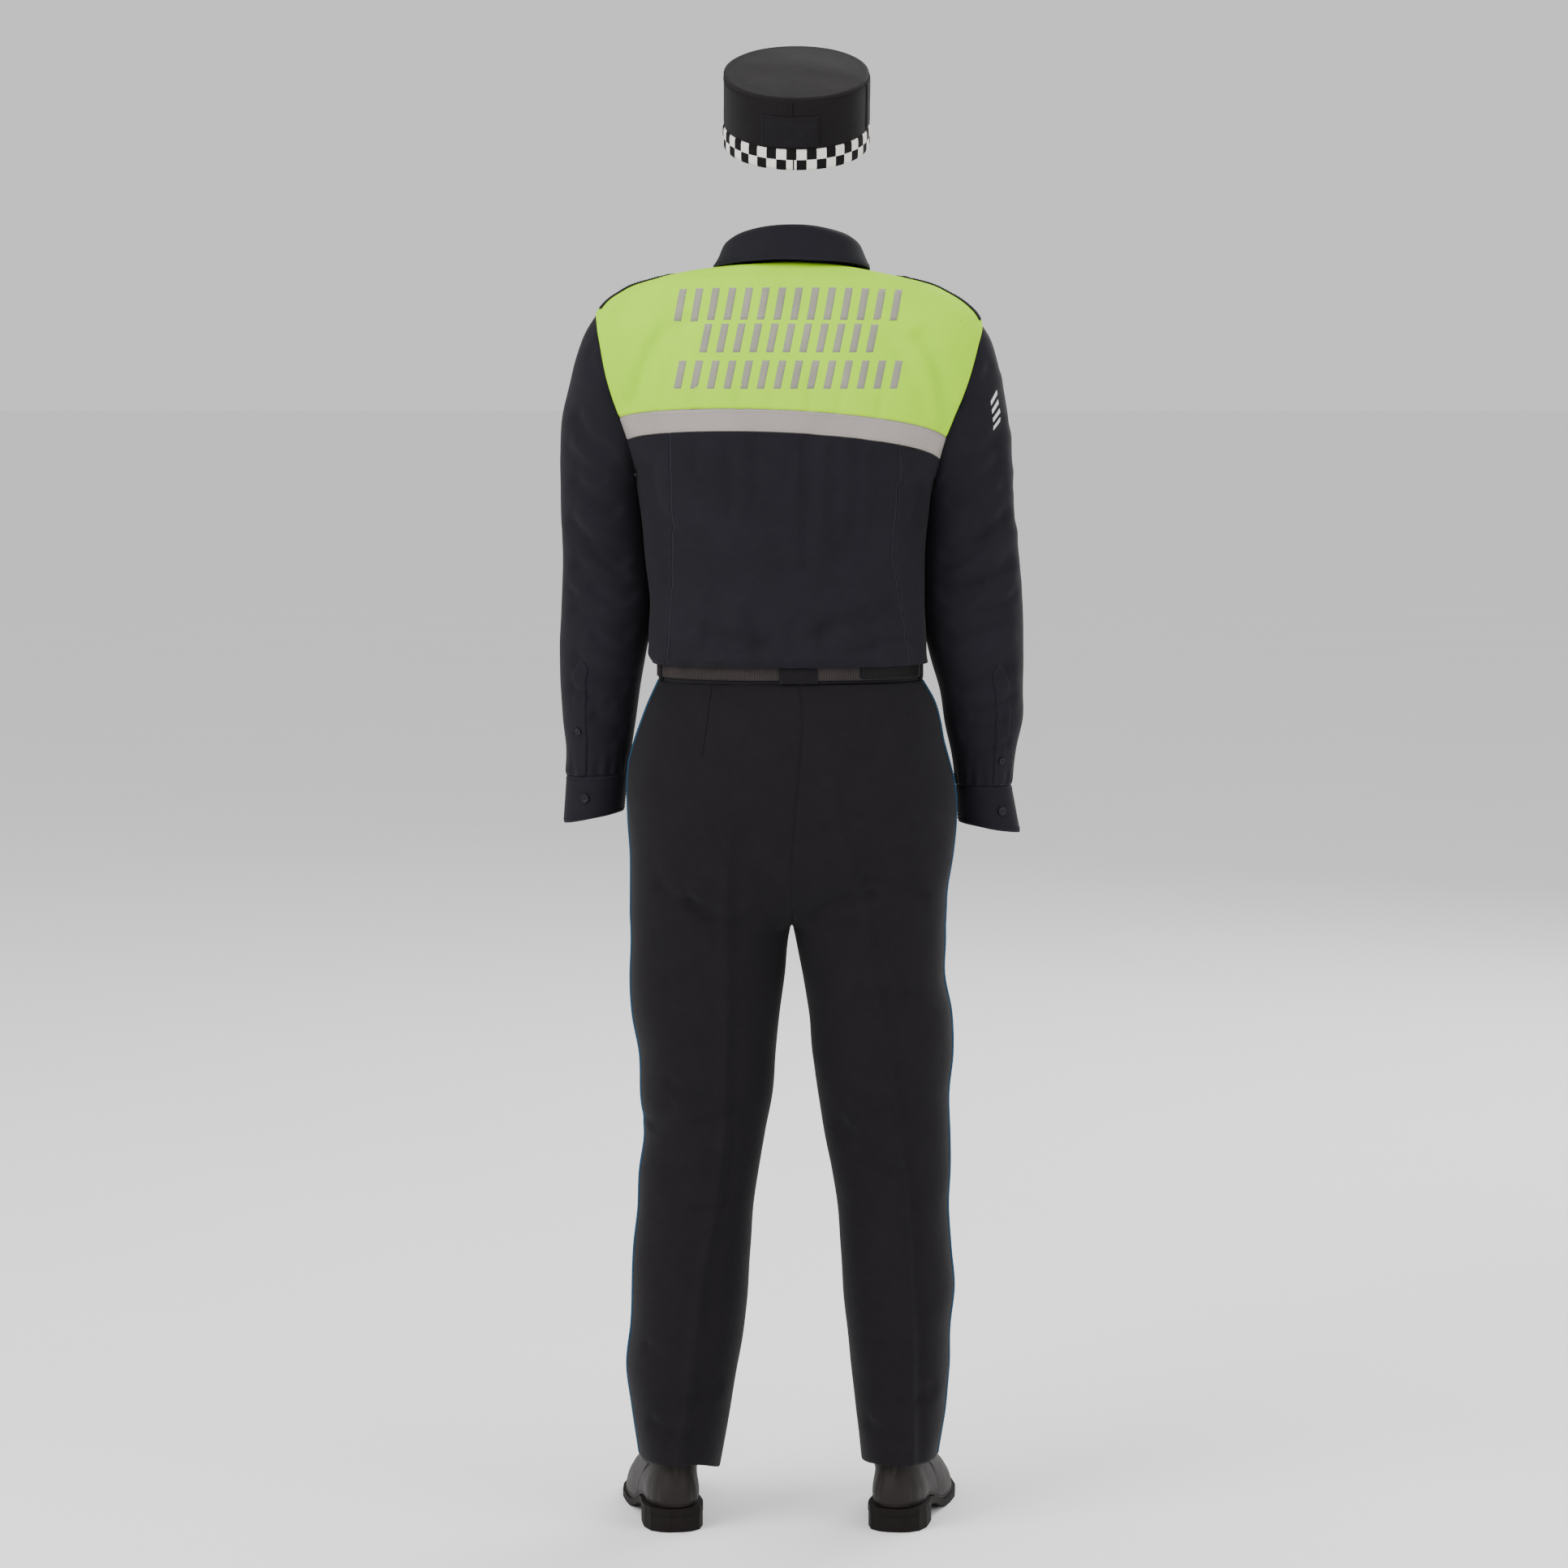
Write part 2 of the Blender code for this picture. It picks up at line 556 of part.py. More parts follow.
def collar_ring(table, droop=0.0):
    """A collar piece, by turn in degrees from the middle of the back, and millimetres along it."""

    def surface(turn, along):
        angle = np.radians(turn)
        depth = np.where(np.cos(angle) > 0, column(table, "back", along), column(table, "front", along))
        x = column(table, "centre", along) + column(table, "half_width", along) * np.sin(angle)
        y = -depth * np.cos(angle)
        side_z = column(table, "side_z", along)
        end_z = np.where(np.cos(angle) > 0, column(table, "back_z", along), column(table, "front_z", along))
        z = side_z + (end_z - side_z) * np.abs(np.cos(angle)) ** COLLAR_BEND
        longest = table[-1].along
        forward = smooth((np.abs(turn) - 100) / 70)
        z = z - droop * forward * np.clip(along / longest, 0, 1)
        y = y + COLLAR_POINT_REACH * droop * forward * np.clip(along / longest, 0, 1)
        return np.stack([x, y, z], -1)

    return surface


def folded(surface, folds, side=1, steps=(STEP, 0.5)):
    """The surface with its folds pressed into it."""

    def pressed(p, q):
        points = surface(p, q)
        height = np.zeros(points.shape[:-1])
        for fold in folds:
            start = np.array([fold.x1, fold.z1], float)
            run = np.array([fold.x2, fold.z2], float) - start
            length = np.linalg.norm(run)
            away = points[..., (0, 2)] - start
            t = (away @ run) / length**2
            off = (away @ np.array([-run[1], run[0]])) / length - fold.bow * 4 * t * (1 - t)
            ends = smooth(t / 0.15 + 0.5) * smooth((1 - t) / 0.15 + 0.5)
            height += fold.depth * ends * np.exp(-((off / fold.width) ** 2))
        return points + height[..., None] * normal(surface, p, q, side, steps)

    return pressed


def normal(surface, p, q, side, steps):
    """The outward direction of a surface; side is -1 where its two directions turn the other way."""
    across = surface(p + steps[0], q) - surface(p - steps[0], q)
    up = surface(p, q + steps[1]) - surface(p, q - steps[1])
    out = np.cross(across, up) * side
    return out / np.maximum(np.linalg.norm(out, axis=-1, keepdims=True), 1e-9)


def set_back(points, distance, edges):
    """Moves a grid's edge rows towards their neighbours by a distance, along the surface."""
    moved = points.copy()
    for edge in edges:
        at, near = {"start": (0, 1), "end": (-1, -2)}[edge[1]]
        for axis in (0,) if edge[0] == "p" else (1,):
            rows, inner = (points[at], points[near]) if axis == 0 else (points[:, at], points[:, near])
            step = inner - rows
            step = step / np.maximum(np.linalg.norm(step, axis=-1, keepdims=True), 1e-9) * distance
            if axis == 0:
                moved[at] += step
            else:
                moved[:, at] += step
    return moved


def metres(points):
    """Millimetres above the floor, as metres from the middle of the shoulders."""
    return (np.asarray(points, float) - np.array([0, 0, ORIGIN_HEIGHT])) * MM


def material(look):
    """The shader for a look, made once."""
    name, colour, roughness, metallic = look
    found = bpy.data.materials.get(name)
    if found:
        return found
    made = bpy.data.materials.new(name)
    made.use_nodes = True
    shader = made.node_tree.nodes["Principled BSDF"]
    shader.inputs["Base Color"].default_value = (*colour, 1.0)
    shader.inputs["Roughness"].default_value = roughness
    shader.inputs["Metallic"].default_value = metallic
    made.diffuse_color = (*colour, 1.0)
    return made


def add_object(name, mesh, look):
    """Links a mesh as a named piece of the uniform."""
    piece = bpy.data.objects.new(name, mesh)
    mesh.materials.append(material(look))
    bpy.data.collections["police_uniform"].objects.link(piece)
    return piece


def finish_mesh(bm, name):
    """Turns a closed bmesh into a mesh with its faces outward."""
    bmesh.ops.recalc_face_normals(bm, faces=bm.faces[:])
    if bm.calc_volume(signed=True) < 0:
        bmesh.ops.reverse_faces(bm, faces=bm.faces[:])
    bmesh.ops.triangulate(bm, faces=bm.faces[:], quad_method="SHORT_EDGE")
    mesh = bpy.data.meshes.new(name)
    bm.to_mesh(mesh)
    bm.free()
    mesh.shade_smooth()
    mesh.set_sharp_from_angle(angle=math.radians(40))
    return mesh


def walled(name, outer, inner, look, tube=False, closed_end=False):
    """A closed wall between two grids of points of the same shape; a tube's first and last lines are one."""
    columns, rows = outer.shape[0] - 1, outer.shape[1] - 1
    bm = bmesh.new()
    bmesh.ops.create_grid(bm, x_segments=columns, y_segments=rows, size=1)
    spread = bmesh.ops.extrude_face_region(bm, geom=bm.faces[:], use_keep_orig=True)
    fresh = [part for part in spread["geom"] if isinstance(part, bmesh.types.BMVert)]
    bmesh.ops.translate(bm, verts=fresh, vec=(0, 0, -1))
    places = {}
    for vert in bm.verts:
        column_at = round((vert.co.x + 1) / 2 * columns)
        row_at = round((vert.co.y + 1) / 2 * rows)
        places[vert] = (column_at, row_at, vert.co.z < -0.5)
    if tube:
        ends = [f for f in bm.faces if {places[v][0] for v in f.verts} in ({0}, {columns})]
        bmesh.ops.delete(bm, geom=ends, context="FACES")
    if closed_end:
        rim = [f for f in bm.faces if {places[v][1] for v in f.verts} == {rows}]
        bmesh.ops.delete(bm, geom=rim, context="FACES")
    outer, inner = metres(outer), metres(inner)
    for vert in bm.verts:
        column_at, row_at, inside = places[vert]
        vert.co = (inner if inside else outer)[column_at, row_at]
    if tube:
        bmesh.ops.remove_doubles(bm, verts=bm.verts[:], dist=1e-6)
        strays = [edge for edge in bm.edges if not edge.link_faces]
        bmesh.ops.delete(bm, geom=strays, context="EDGES")
    return add_object(name, finish_mesh(bm, name), look)


def cloth(name, surface, where, columns, rows, look, side=1, steps=(STEP, 0.5), lift=0.0, wall=CLOTH,
          tube=False, closed_end=False, edges=("p start", "p end", "q start", "q end")):
    """A cloth panel: a wall of even thickness on a surface, over a grid of places."""
    a, b = np.meshgrid(np.asarray(columns, float), np.asarray(rows, float), indexing="ij")
    p, q = where(a, b)
    out = normal(surface, p, q, side, steps)
    points = surface(p, q) + lift * out
    trims = [edge.split() for edge in edges if not (tube and edge[0] == "p")]
    outer = set_back(points, SEAM, trims)
    inner = set_back(points - wall * out, WALL_SETBACK, trims)
    if tube:
        outer[-1], inner[-1] = outer[0], inner[0]
    return walled(name, outer, inner, look, tube, closed_end)


def plain(a, b):
    """Grid lines used as they are."""
    return a, b


def shirt_rows(rows, low, high):
    """Places a panel between two shares of the half width, each fixed or following a column of heights."""

    def where(a, b):
        edge_low = low(blended_row(rows, b, 0 * b)) if callable(low) else low
        edge_high = high(blended_row(rows, b, 0 * b)) if callable(high) else high
        share = edge_low + (edge_high - edge_low) * a
        return share, blended_row(rows, b, share)

    return where


def princess(side):
    """The princess seam's share on one side, by height."""
    name = "left" if side < 0 else "right"
    return lambda height: side * column(PRINCESS, name, height)


def make_shirt_body():
    """The shirt's back, its yokes, bands and fronts."""
    back = folded(shirt_body(-1), SHIRT_BACK_FOLDS, 1)
    front = folded(shirt_body(1), SHIRT_FRONT_FOLDS, -1)
    lower = range(len(LOWER_ROWS))
    yoke = range(len(YOKE_ROWS))
    band = [BAND_LOW, BAND_HIGH]
    cloth("back_yoke", back, shirt_rows(YOKE_ROWS, -1, 1), np.linspace(0, 1, 15), yoke, HI_VIS)
    cloth("back_band", back, shirt_rows(band, -1, 1), np.linspace(0, 1, 15), (0, 1), REFLECTIVE)
    cloth("back_centre", back, shirt_rows(LOWER_ROWS, princess(-1), princess(1)),
          np.linspace(0, 1, 13), lower, NAVY)
    cloth("back_side_L", back, shirt_rows(LOWER_ROWS, -1, princess(-1)), np.linspace(0, 1, 6), lower, NAVY)
    cloth("back_side_R", back, shirt_rows(LOWER_ROWS, princess(1), 1), np.linspace(0, 1, 6), lower, NAVY)
    for side, letter in ((-1, "L"), (1, "R")):
        low, high = (-1, -PLACKET_SHARE) if side < 0 else (PLACKET_SHARE, 1)
        columns = np.linspace(0, 1, 8)
        cloth("front_yoke_" + letter, front, shirt_rows(YOKE_ROWS, low, high), columns, yoke, HI_VIS, -1)
        cloth("front_band_" + letter, front, shirt_rows(band, low, high), columns, (0, 1), REFLECTIVE, -1)
        cloth("front_" + letter, front, shirt_rows(LOWER_ROWS, low, high), columns, lower, NAVY, -1)
    full = LOWER_ROWS + YOKE_ROWS
    cloth("front_placket", front, shirt_rows(full, -PLACKET_SHARE, PLACKET_SHARE), (0, 0.5, 1),
          range(len(full)), NAVY, -1)


def sleeve_turns(side):
    """Turns round a sleeve that meet the rows of the panels at the armhole."""
    hole = ARMHOLES[side]
    middle, half = (hole.top + hole.bottom) / 2, (hole.top - hole.bottom) / 2
    edge = "left" if side < 0 else "right"
    heights = sorted({getattr(row, edge) for row in LOWER_ROWS + YOKE_ROWS})
    held = [h for h in heights if hole.bottom <= h <= hole.top]
    over_back = [math.degrees(math.acos(max(-1, min(1, (h - middle) / half)))) for h in reversed(held)]
    return over_back + [360 - turn for turn in reversed(over_back[:-1])]


def make_sleeves():
    """Sleeves, cuffs, sleeve plackets and the buttons on them."""
    for side, letter in ((-1, "L"), (1, "R")):
        folds = LEFT_SLEEVE_FOLDS if side < 0 else RIGHT_SLEEVE_FOLDS
        steps = (0.5, 0.5)
        tube = folded(sleeve_tube(side), folds, side, steps)
        turns = sleeve_turns(side)
        stops = [row.along for row in SLEEVES[side]]
        cloth("sleeve_" + letter, tube, plain, turns, stops, NAVY, side, steps, tube=True)
        cuff = cuff_tube(side)
        cloth("cuff_" + letter, cuff, plain, turns, (0, CUFFS[side][-1].along), NAVY, side, steps,
              tube=True)
        cloth("sleeve_placket_" + letter, tube, plain, turns[2:5], stops[-5:], NAVY, side, steps,
              lift=LAID_ON + THIN, wall=THIN)
        places = SLEEVE_BUTTONS[side]
        button("cuff_button_" + letter, cuff, places.cuff_turn, places.cuff_along, side, steps,
               BUTTON_RADIUS, LAID_ON)
        button("placket_button_" + letter, tube, places.placket_turn, places.placket_along, side, steps,
               SMALL_BUTTON_RADIUS, 2 * LAID_ON + THIN)


def make_trousers():
    """The four trouser panels and the side stripes."""
    for side, letter in ((-1, "L"), (1, "R")):
        back = folded(trouser_panel(side, -1), TROUSER_BACK_FOLDS, -side)
        front = folded(trouser_panel(side, 1), TROUSER_FRONT_FOLDS, side)
        cloth("trouser_back_" + letter, back, plain, BACK_COLUMNS, LEG_ROWS, BLACK_WOOL, -side)
        cloth("trouser_front_" + letter, front, plain, FRONT_COLUMNS, LEG_ROWS, BLACK_WOOL, side)
        stripe = side_strip(back, front)
        cloth("side_stripe_" + letter, stripe, plain, (-STRIPE_SHARE, 0, STRIPE_SHARE), LEG_ROWS,
              STEEL_BLUE, side, lift=LAID_ON + THIN, wall=THIN)


def button(name, surface, p, q, side, steps, radius, lift):
    """A round button that lies on a surface at one of its points."""
    here = np.array([float(p)]), np.array([float(q)])
    out = Vector(normal(surface, *here, side, steps)[0])
    centre = Vector(metres(surface(*here)[0])) + out * (lift + BUTTON_WALL / 2) * MM
    bm = bmesh.new()
    bmesh.ops.create_cone(bm, cap_ends=True, segments=12, radius1=radius * MM, radius2=radius * MM,
                          depth=BUTTON_WALL * MM)
    turned = out.to_track_quat("Z", "Y").to_matrix().to_4x4()
    bmesh.ops.transform(bm, matrix=Matrix.Translation(centre) @ turned, verts=bm.verts[:])
    add_object(name, finish_mesh(bm, name), BUTTON)


def make_shirt_buttons():
    """Buttons down the front placket."""
    for number, height in enumerate(SHIRT_BUTTON_HEIGHTS, 1):
        button("shirt_button_" + str(number), shirt_body(1), 0, height, -1, (STEP, 0.5),
               BUTTON_RADIUS, 2 * LAID_ON)


def make_epaulettes():
    """Epaulettes and their buttons."""
    steps = (0.5, 0.3)
    for side, letter in ((-1, "L"), (1, "R")):
        size = EPAULETTES[side]
        strip = shoulder_strip(side)
        heights = size.low + (size.high - size.low) * np.linspace(0, 1, 10) ** 0.75
        across = np.linspace(-size.half_width, size.half_width, 7)
        cloth("epaulette_" + letter, strip, plain, across, heights, NAVY, side, steps,
              lift=EPAULETTE_LIFT + EPAULETTE_WALL, wall=EPAULETTE_WALL)
        button("epaulette_button_" + letter, strip, 0, size.high - 3, side, steps,
               EPAULETTE_BUTTON_RADIUS, EPAULETTE_LIFT + EPAULETTE_WALL + LAID_ON)


def loop_profile(turn, height):
    """A belt loop's inner face: on the waistband at both ends and over the belt between them."""
    over = smooth((height - LOOP_LOW) / 2.2) * smooth((LOOP_HIGH - height) / 1.4)
    lift = LAID_ON + (BELT_WALL + 2 * LAID_ON) * over
    return waist_ring(turn, height) + lift[..., None] * normal(waist_ring, turn, height, 1, (0.5, 0.5))


def make_waist():
    """Waistband, belt, belt loops and buckle."""
    turns = np.linspace(0, 360, 33)
    steps = (0.5, 0.2)
    cloth("waistband", waist_ring, plain, turns, (WAISTBAND_LOW, WAISTBAND_HIGH), BLACK_WOOL, 1, steps,
          tube=True)
    cloth("belt", waist_ring, plain, turns, (BELT_LOW, BELT_HIGH), WEBBING, 1, steps,
          lift=LAID_ON + BELT_WALL, wall=BELT_WALL, tube=True)
    for loop in BELT_LOOPS:
        half = math.degrees(loop.width / 2 / WAIST.half_width) * loop.spread
        cloth(loop.name, loop_profile, plain, np.linspace(loop.turn - half, loop.turn + half, loop.columns),
              LOOP_ROWS, BLACK_WOOL, 1, steps, lift=THIN, wall=THIN)
    make_buckle()


def make_buckle():
    """A plain plate buckle over the middle of the belt's front."""
    width, height, wall = BUCKLE
    front = WAIST.front + LAID_ON + BELT_WALL + LAID_ON
    bm = bmesh.new()
    bmesh.ops.create_cube(bm, size=1)
    bmesh.ops.scale(bm, vec=(width * MM, wall * MM, height * MM), verts=bm.verts[:])
    middle = (WAIST.centre, front + wall / 2, (BELT_LOW + BELT_HIGH) / 2)
    bmesh.ops.translate(bm, vec=metres(middle), verts=bm.verts[:])
    upright = [edge for edge in bm.edges if abs(edge.verts[0].co.y - edge.verts[1].co.y) > wall * MM / 2]
    bmesh.ops.bevel(bm, geom=upright, offset=4 * MM, segments=3, profile=0.5, affect="EDGES")
    add_object("buckle", finish_mesh(bm, "buckle"), STEEL)


def make_collar():
    """Collar stand and leaf."""
    steps = (0.5, 0.5)
    stand_turns = np.linspace(-180 + STAND_OPENING, 180 - STAND_OPENING, 25)
    cloth("collar_stand", collar_ring(STAND), plain, stand_turns, (0, 17, 34), NAVY, 1, steps)
    cloth("collar_leaf", collar_ring(LEAF, COLLAR_POINT_DROP), plain,
          np.linspace(-180 + LEAF_OPENING, 180 - LEAF_OPENING, 25), (0, 14, 30, 48), NAVY, -1, steps)


def cap_wall(turn, height):
    """The cap's side wall, by turn in degrees from the middle of the back, and height in its own frame."""
    across, along = rounded(np.radians(turn), CAP_SQUARENESS)
    return cap_place(CAP_HALF_WIDTH * across, -CAP_HALF_LENGTH * along, height + 0 * across)


def cap_crown(turn, share):
    """The crown, by turn and share of the way from its edge to its middle."""
    across, along = rounded(np.radians(turn), CAP_SQUARENESS)
    left = 1 - share
    rise = CAP_HEIGHT + LAID_ON + CAP_WALL + CROWN_RISE * (1 - left**2)
    return cap_place(CAP_HALF_WIDTH * across * left, -CAP_HALF_LENGTH * along * left, rise)


def cap_peak(turn, share):
    """The peak, by turn and share of its reach from the band."""
    across, along = rounded(np.radians(turn), CAP_SQUARENESS)
    spread = np.clip(np.cos(np.radians((turn - 180) / PEAK_HALF_TURN * 90)), PEAK_EDGE, 1)
    reach = share * PEAK_REACH * spread
    x = (CAP_HALF_WIDTH + PEAK_START + reach * PEAK_SPREAD) * across
    y = -(CAP_HALF_LENGTH + PEAK_START + reach) * along
    return cap_place(x, y, PEAK_SEAT - PEAK_SLOPE * reach)


def cap_place(x, y, z):
    """Points of the cap's own frame, tilted back and put in place."""
    tilt = math.radians(CAP_TILT)
    across, ahead, up = CAP_CENTRE
    return np.stack([x + across, y * math.cos(tilt) - z * math.sin(tilt) + ahead,
                     y * math.sin(tilt) + z * math.cos(tilt) + up], -1)


def make_cap():
    """Cap wall, crown, check band, outer layer, patch and peak."""
    turns = np.linspace(0, 360, 37)
    steps = (0.5, 0.5)
    laid = {"lift": LAID_ON + THIN, "wall": THIN}
    cloth("cap_side", cap_wall, plain, turns, (0, CAP_BAND_HEIGHT, CAP_HEIGHT), CAP_CLOTH, 1, steps,
          wall=CAP_WALL, tube=True)
    cloth("cap_crown", cap_crown, plain, turns, (0, 0.12, 0.45, 1), CAP_CLOTH, 1, (0.5, STEP),
          wall=CAP_WALL, tube=True, closed_end=True, edges=("q start",))
    cloth("cap_check_band", cap_wall, plain, turns, (0, CAP_BAND_HEIGHT), CHECK_CLOTH, 1, steps,
          tube=True, **laid)
    layer = CAP_LAYER
    layer_turns = np.arange(layer.start, layer.end + 1, 10)
    cloth("cap_outer_layer", cap_wall, plain, layer_turns, (layer.low, layer.high), CAP_CLOTH, 1, steps,
          **laid)
    patch = CAP_PATCH
    cloth("cap_patch", cap_wall, plain, np.linspace(patch.start, patch.end, 9), (patch.low, patch.high),
          PATCH, 1, steps, **laid)
    peak_turns = np.linspace(180 - PEAK_HALF_TURN, 180 + PEAK_HALF_TURN, 15)
    cloth("cap_peak", cap_peak, plain, peak_turns, (0, 0.5, 1), CAP_CLOTH, -1, (0.5, STEP), wall=CAP_WALL)


def sole_low(along):
    """Height of the sole's underside above the floor."""
    heel = (HEEL_HEIGHT + LAID_ON) * (1 - smooth((along - HEEL_LENGTH - 2) / 80))
    return heel + TOE_SPRING * smooth((along - 230) / 62)


def shoe_place(side, across, along, height):
    """Points of a shoe's own frame, turned out and put in place; across is towards +X."""
    heel_x, heel_y, splay = SHOES[side]
    turn = -math.radians(splay) * side
    x = heel_x + across * math.cos(turn) - along * math.sin(turn)
    y = heel_y + across * math.sin(turn) + along * math.cos(turn)
    return np.stack([x, y, height + 0 * x], -1)


def half_width(side, towards, along):
    """The outline's half width on the side towards +X (1) or -X (-1)."""
    return np.maximum(column(SHOE_OUTLINE, "outside" if towards == side else "inside", along), END_HALF_WIDTH)


def shoe_upper(side):
    """The upper, by turn in degrees from the heel and share of the way up to the ankle."""

    def surface(turn, up):
        angle = np.radians(turn)
        length = SHOE_OUTLINE[-1].along
        along = length / 2 * (1 - np.cos(angle))
        widths = np.where(np.sin(angle) > 0, half_width(side, 1, along), half_width(side, -1, along))
        round_end = np.abs(np.sin(angle)) ** TOE_ROUNDNESS
        across = np.sign(np.sin(angle)) * np.maximum(widths * round_end - WELT, 0)
        low_along = np.clip(along, WELT, length - WELT)
        low = sole_low(low_along) + SOLE_WALL + 2 * LAID_ON
        end_z = np.where(np.cos(angle) > 0, ANKLE.back_z, ANKLE.front_z)
        high = ANKLE.side_z + (end_z - ANKLE.side_z) * np.cos(angle) ** 2
        in_by = np.clip(up, 0, None) ** ANKLE.lean
        ankle_along = ANKLE.along - ANKLE.half_length * np.cos(angle)
        x = across + (ANKLE.half_width * np.sin(angle) - across) * in_by
        y = low_along + (ankle_along - low_along) * in_by
        return shoe_place(side, x, y, low + (high - low) * up)

    return surface


def slab(name, side, stations, low, high, inset, look):
    """A closed slab between two heights, in the shoe's outline."""
    across, along = np.meshgrid((-1.0, 0.0, 1.0), np.asarray(stations, float), indexing="ij")
    widths = np.where(across < 0, half_width(side, -1, along), half_width(side, 1, along)) - inset
    top = shoe_place(side, across * widths, along, high(along))
    bottom = shoe_place(side, across * widths, along, low(along))
    walled(name, top, bottom, look)


def make_shoes():
    """Upper, sole and heel of both shoes."""
    length = SHOE_OUTLINE[-1].along
    for side, letter in ((-1, "L"), (1, "R")):
        half_turns = [math.degrees(math.acos(1 - 2 * along / length)) for along in SOLE_STATIONS]
        turns = half_turns + [360 - turn for turn in reversed(half_turns[:-1])]
        cloth("shoe_upper_" + letter, shoe_upper(side), plain, turns, (0, 0.12, 0.35, 0.65, 1), LEATHER, 1,
              (0.5, STEP), tube=True, edges=())
        slab("shoe_sole_" + letter, side, SOLE_STATIONS, sole_low, lambda along: sole_low(along) + SOLE_WALL,
             0, RUBBER)
        slab("shoe_heel_" + letter, side, HEEL_STATIONS, lambda along: 0 * along,
             lambda along: HEEL_HEIGHT + 0 * along, HEEL_INSET, RUBBER)


def main():
    empty_scene()
    group = bpy.data.collections.new("police_uniform")
    bpy.context.scene.collection.children.link(group)
    make_cap()
    make_shirt_body()
    make_shirt_buttons()
    make_sleeves()
    make_epaulettes()
    make_collar()
    make_trousers()
    make_waist()
    make_shoes()


if __name__ == "__main__":
    main()
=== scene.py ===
"""The looks of a worn police uniform: cloth, seams, stitching, buttons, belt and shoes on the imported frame.

Tables are in millimetres above the floor, with the same surfaces as the solids. +X is the wearer's right,
+Y the wearer's front and +Z up.
"""

import logging
import math
from dataclasses import dataclass, field
from enum import Enum
from typing import Callable, NamedTuple, Sequence

import bmesh
import bpy
import numpy as np
from mathutils import Matrix, Vector


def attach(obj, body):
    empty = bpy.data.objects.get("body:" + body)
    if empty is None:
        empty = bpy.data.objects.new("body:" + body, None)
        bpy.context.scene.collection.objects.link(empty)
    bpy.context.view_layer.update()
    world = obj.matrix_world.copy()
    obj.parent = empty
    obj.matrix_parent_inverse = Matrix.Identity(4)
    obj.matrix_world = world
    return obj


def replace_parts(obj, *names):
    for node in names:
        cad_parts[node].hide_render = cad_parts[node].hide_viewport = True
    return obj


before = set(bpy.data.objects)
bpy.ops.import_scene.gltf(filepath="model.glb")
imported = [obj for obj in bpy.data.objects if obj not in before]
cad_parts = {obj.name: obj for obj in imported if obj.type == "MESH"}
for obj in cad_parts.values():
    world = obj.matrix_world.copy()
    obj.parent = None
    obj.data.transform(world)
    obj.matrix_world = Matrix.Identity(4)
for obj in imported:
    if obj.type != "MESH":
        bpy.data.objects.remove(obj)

LOG = logging.getLogger("uniform")
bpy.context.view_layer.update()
Points = np.ndarray
Surface = Callable[[Points, Points], Points]
Places = Callable[[Points, Points], tuple[Points, Points]]
Relief = Callable[[Points, Points, Points], Points]
Steps = tuple[float, float]
Colour = tuple[float, float, float]
Socket = bpy.types.NodeSocket

MM = 0.001
ORIGIN_HEIGHT = 1549.0
CLOTH_WALL = 1.2
LAID_ON = 0.3
ROLL_DEPTH = 0.9
ROLL_WIDTH = 1.8
# Width of the band along rolled edges that takes the worn colour: partly worn cloth, partly painted highlight.
WORN_AND_HIGHLIGHT_WIDTH = 3.0
STEP = 0.002
SHARE_STEPS = (STEP, 0.5)
TURN_STEPS = (0.5, 0.5)
RING_STEPS = (0.5, STEP)


def rows_of(kind: type, rows: Sequence[tuple]) -> list:
    """A table's rows, each with its columns' names."""
    return [kind(*row) for row in rows]


# Cloth body of the shirt, one row for each height
class Section(NamedTuple):
    """The shirt's cloth at one height, in millimetres."""

    height: float
    half_width: float
    centre: float
    back: float
    front: float
    squareness: float
    back_tilt: float
    front_tilt: float


SHIRT = rows_of(Section, [
    (1075, 169.5, 3, 107, 113, 2.3, 0, 0), (1083, 171, 0, 111, 116, 2.3, 0, 0), (1097, 170.8, 0, 111, 117, 2.3, 0, 0),
    (1120, 170, 0, 109, 116, 2.3, 0, 0), (1150, 168, 0, 106, 114, 2.3, 0, 0), (1210, 170, -3, 107, 118, 2.3, 0, 0),
    (1255, 174, -3, 111, 121, 2.3, 0, 0), (1290, 179.5, -3, 114, 123, 2.3, 0, 0),
    (1312, 185.5, -0.5, 116, 124, 2.35, 0, 0), (1344, 200, 0, 119, 125, 2.4, 0, 0),
    (1377, 218, 0, 121, 124, 2.4, 0, 0), (1400, 229, 0, 122, 121, 2.4, 0, 0.01),
    (1430, 238, 0, 120, 117, 2.4, 0.01, 0.03), (1460, 241, 0, 114, 109, 2.35, 0.03, 0.06),
    (1485, 238, 0, 107, 102, 2.3, 0.05, 0.1), (1503, 230, -1, 100, 96, 2.2, 0.08, 0.15),
    (1522, 206, -4, 91, 86, 2.2, 0.14, 0.24), (1536, 172, -5, 81, 76, 2.15, 0.19, 0.34),
    (1547, 109, -3, 68, 68, 2.1, 0.23, 0.42), (1550, 76, 6, 58, 62, 2.0, 0.25, 0.46),
])


# Armhole, one row for each side
class Armhole(NamedTuple):
    """An armhole's ends and half depth."""

    bottom: float
    top: float
    half_depth: float


ARMHOLES = {-1: Armhole(1312, 1503, 60), 1: Armhole(1300, 1490, 60)}


# Rows of the shirt's panels, each given by its height at the left edge, the middle and the right edge
class Row(NamedTuple):
    """Heights of a panel's row at its left edge, middle and right edge."""

    left: float
    middle: float
    right: float


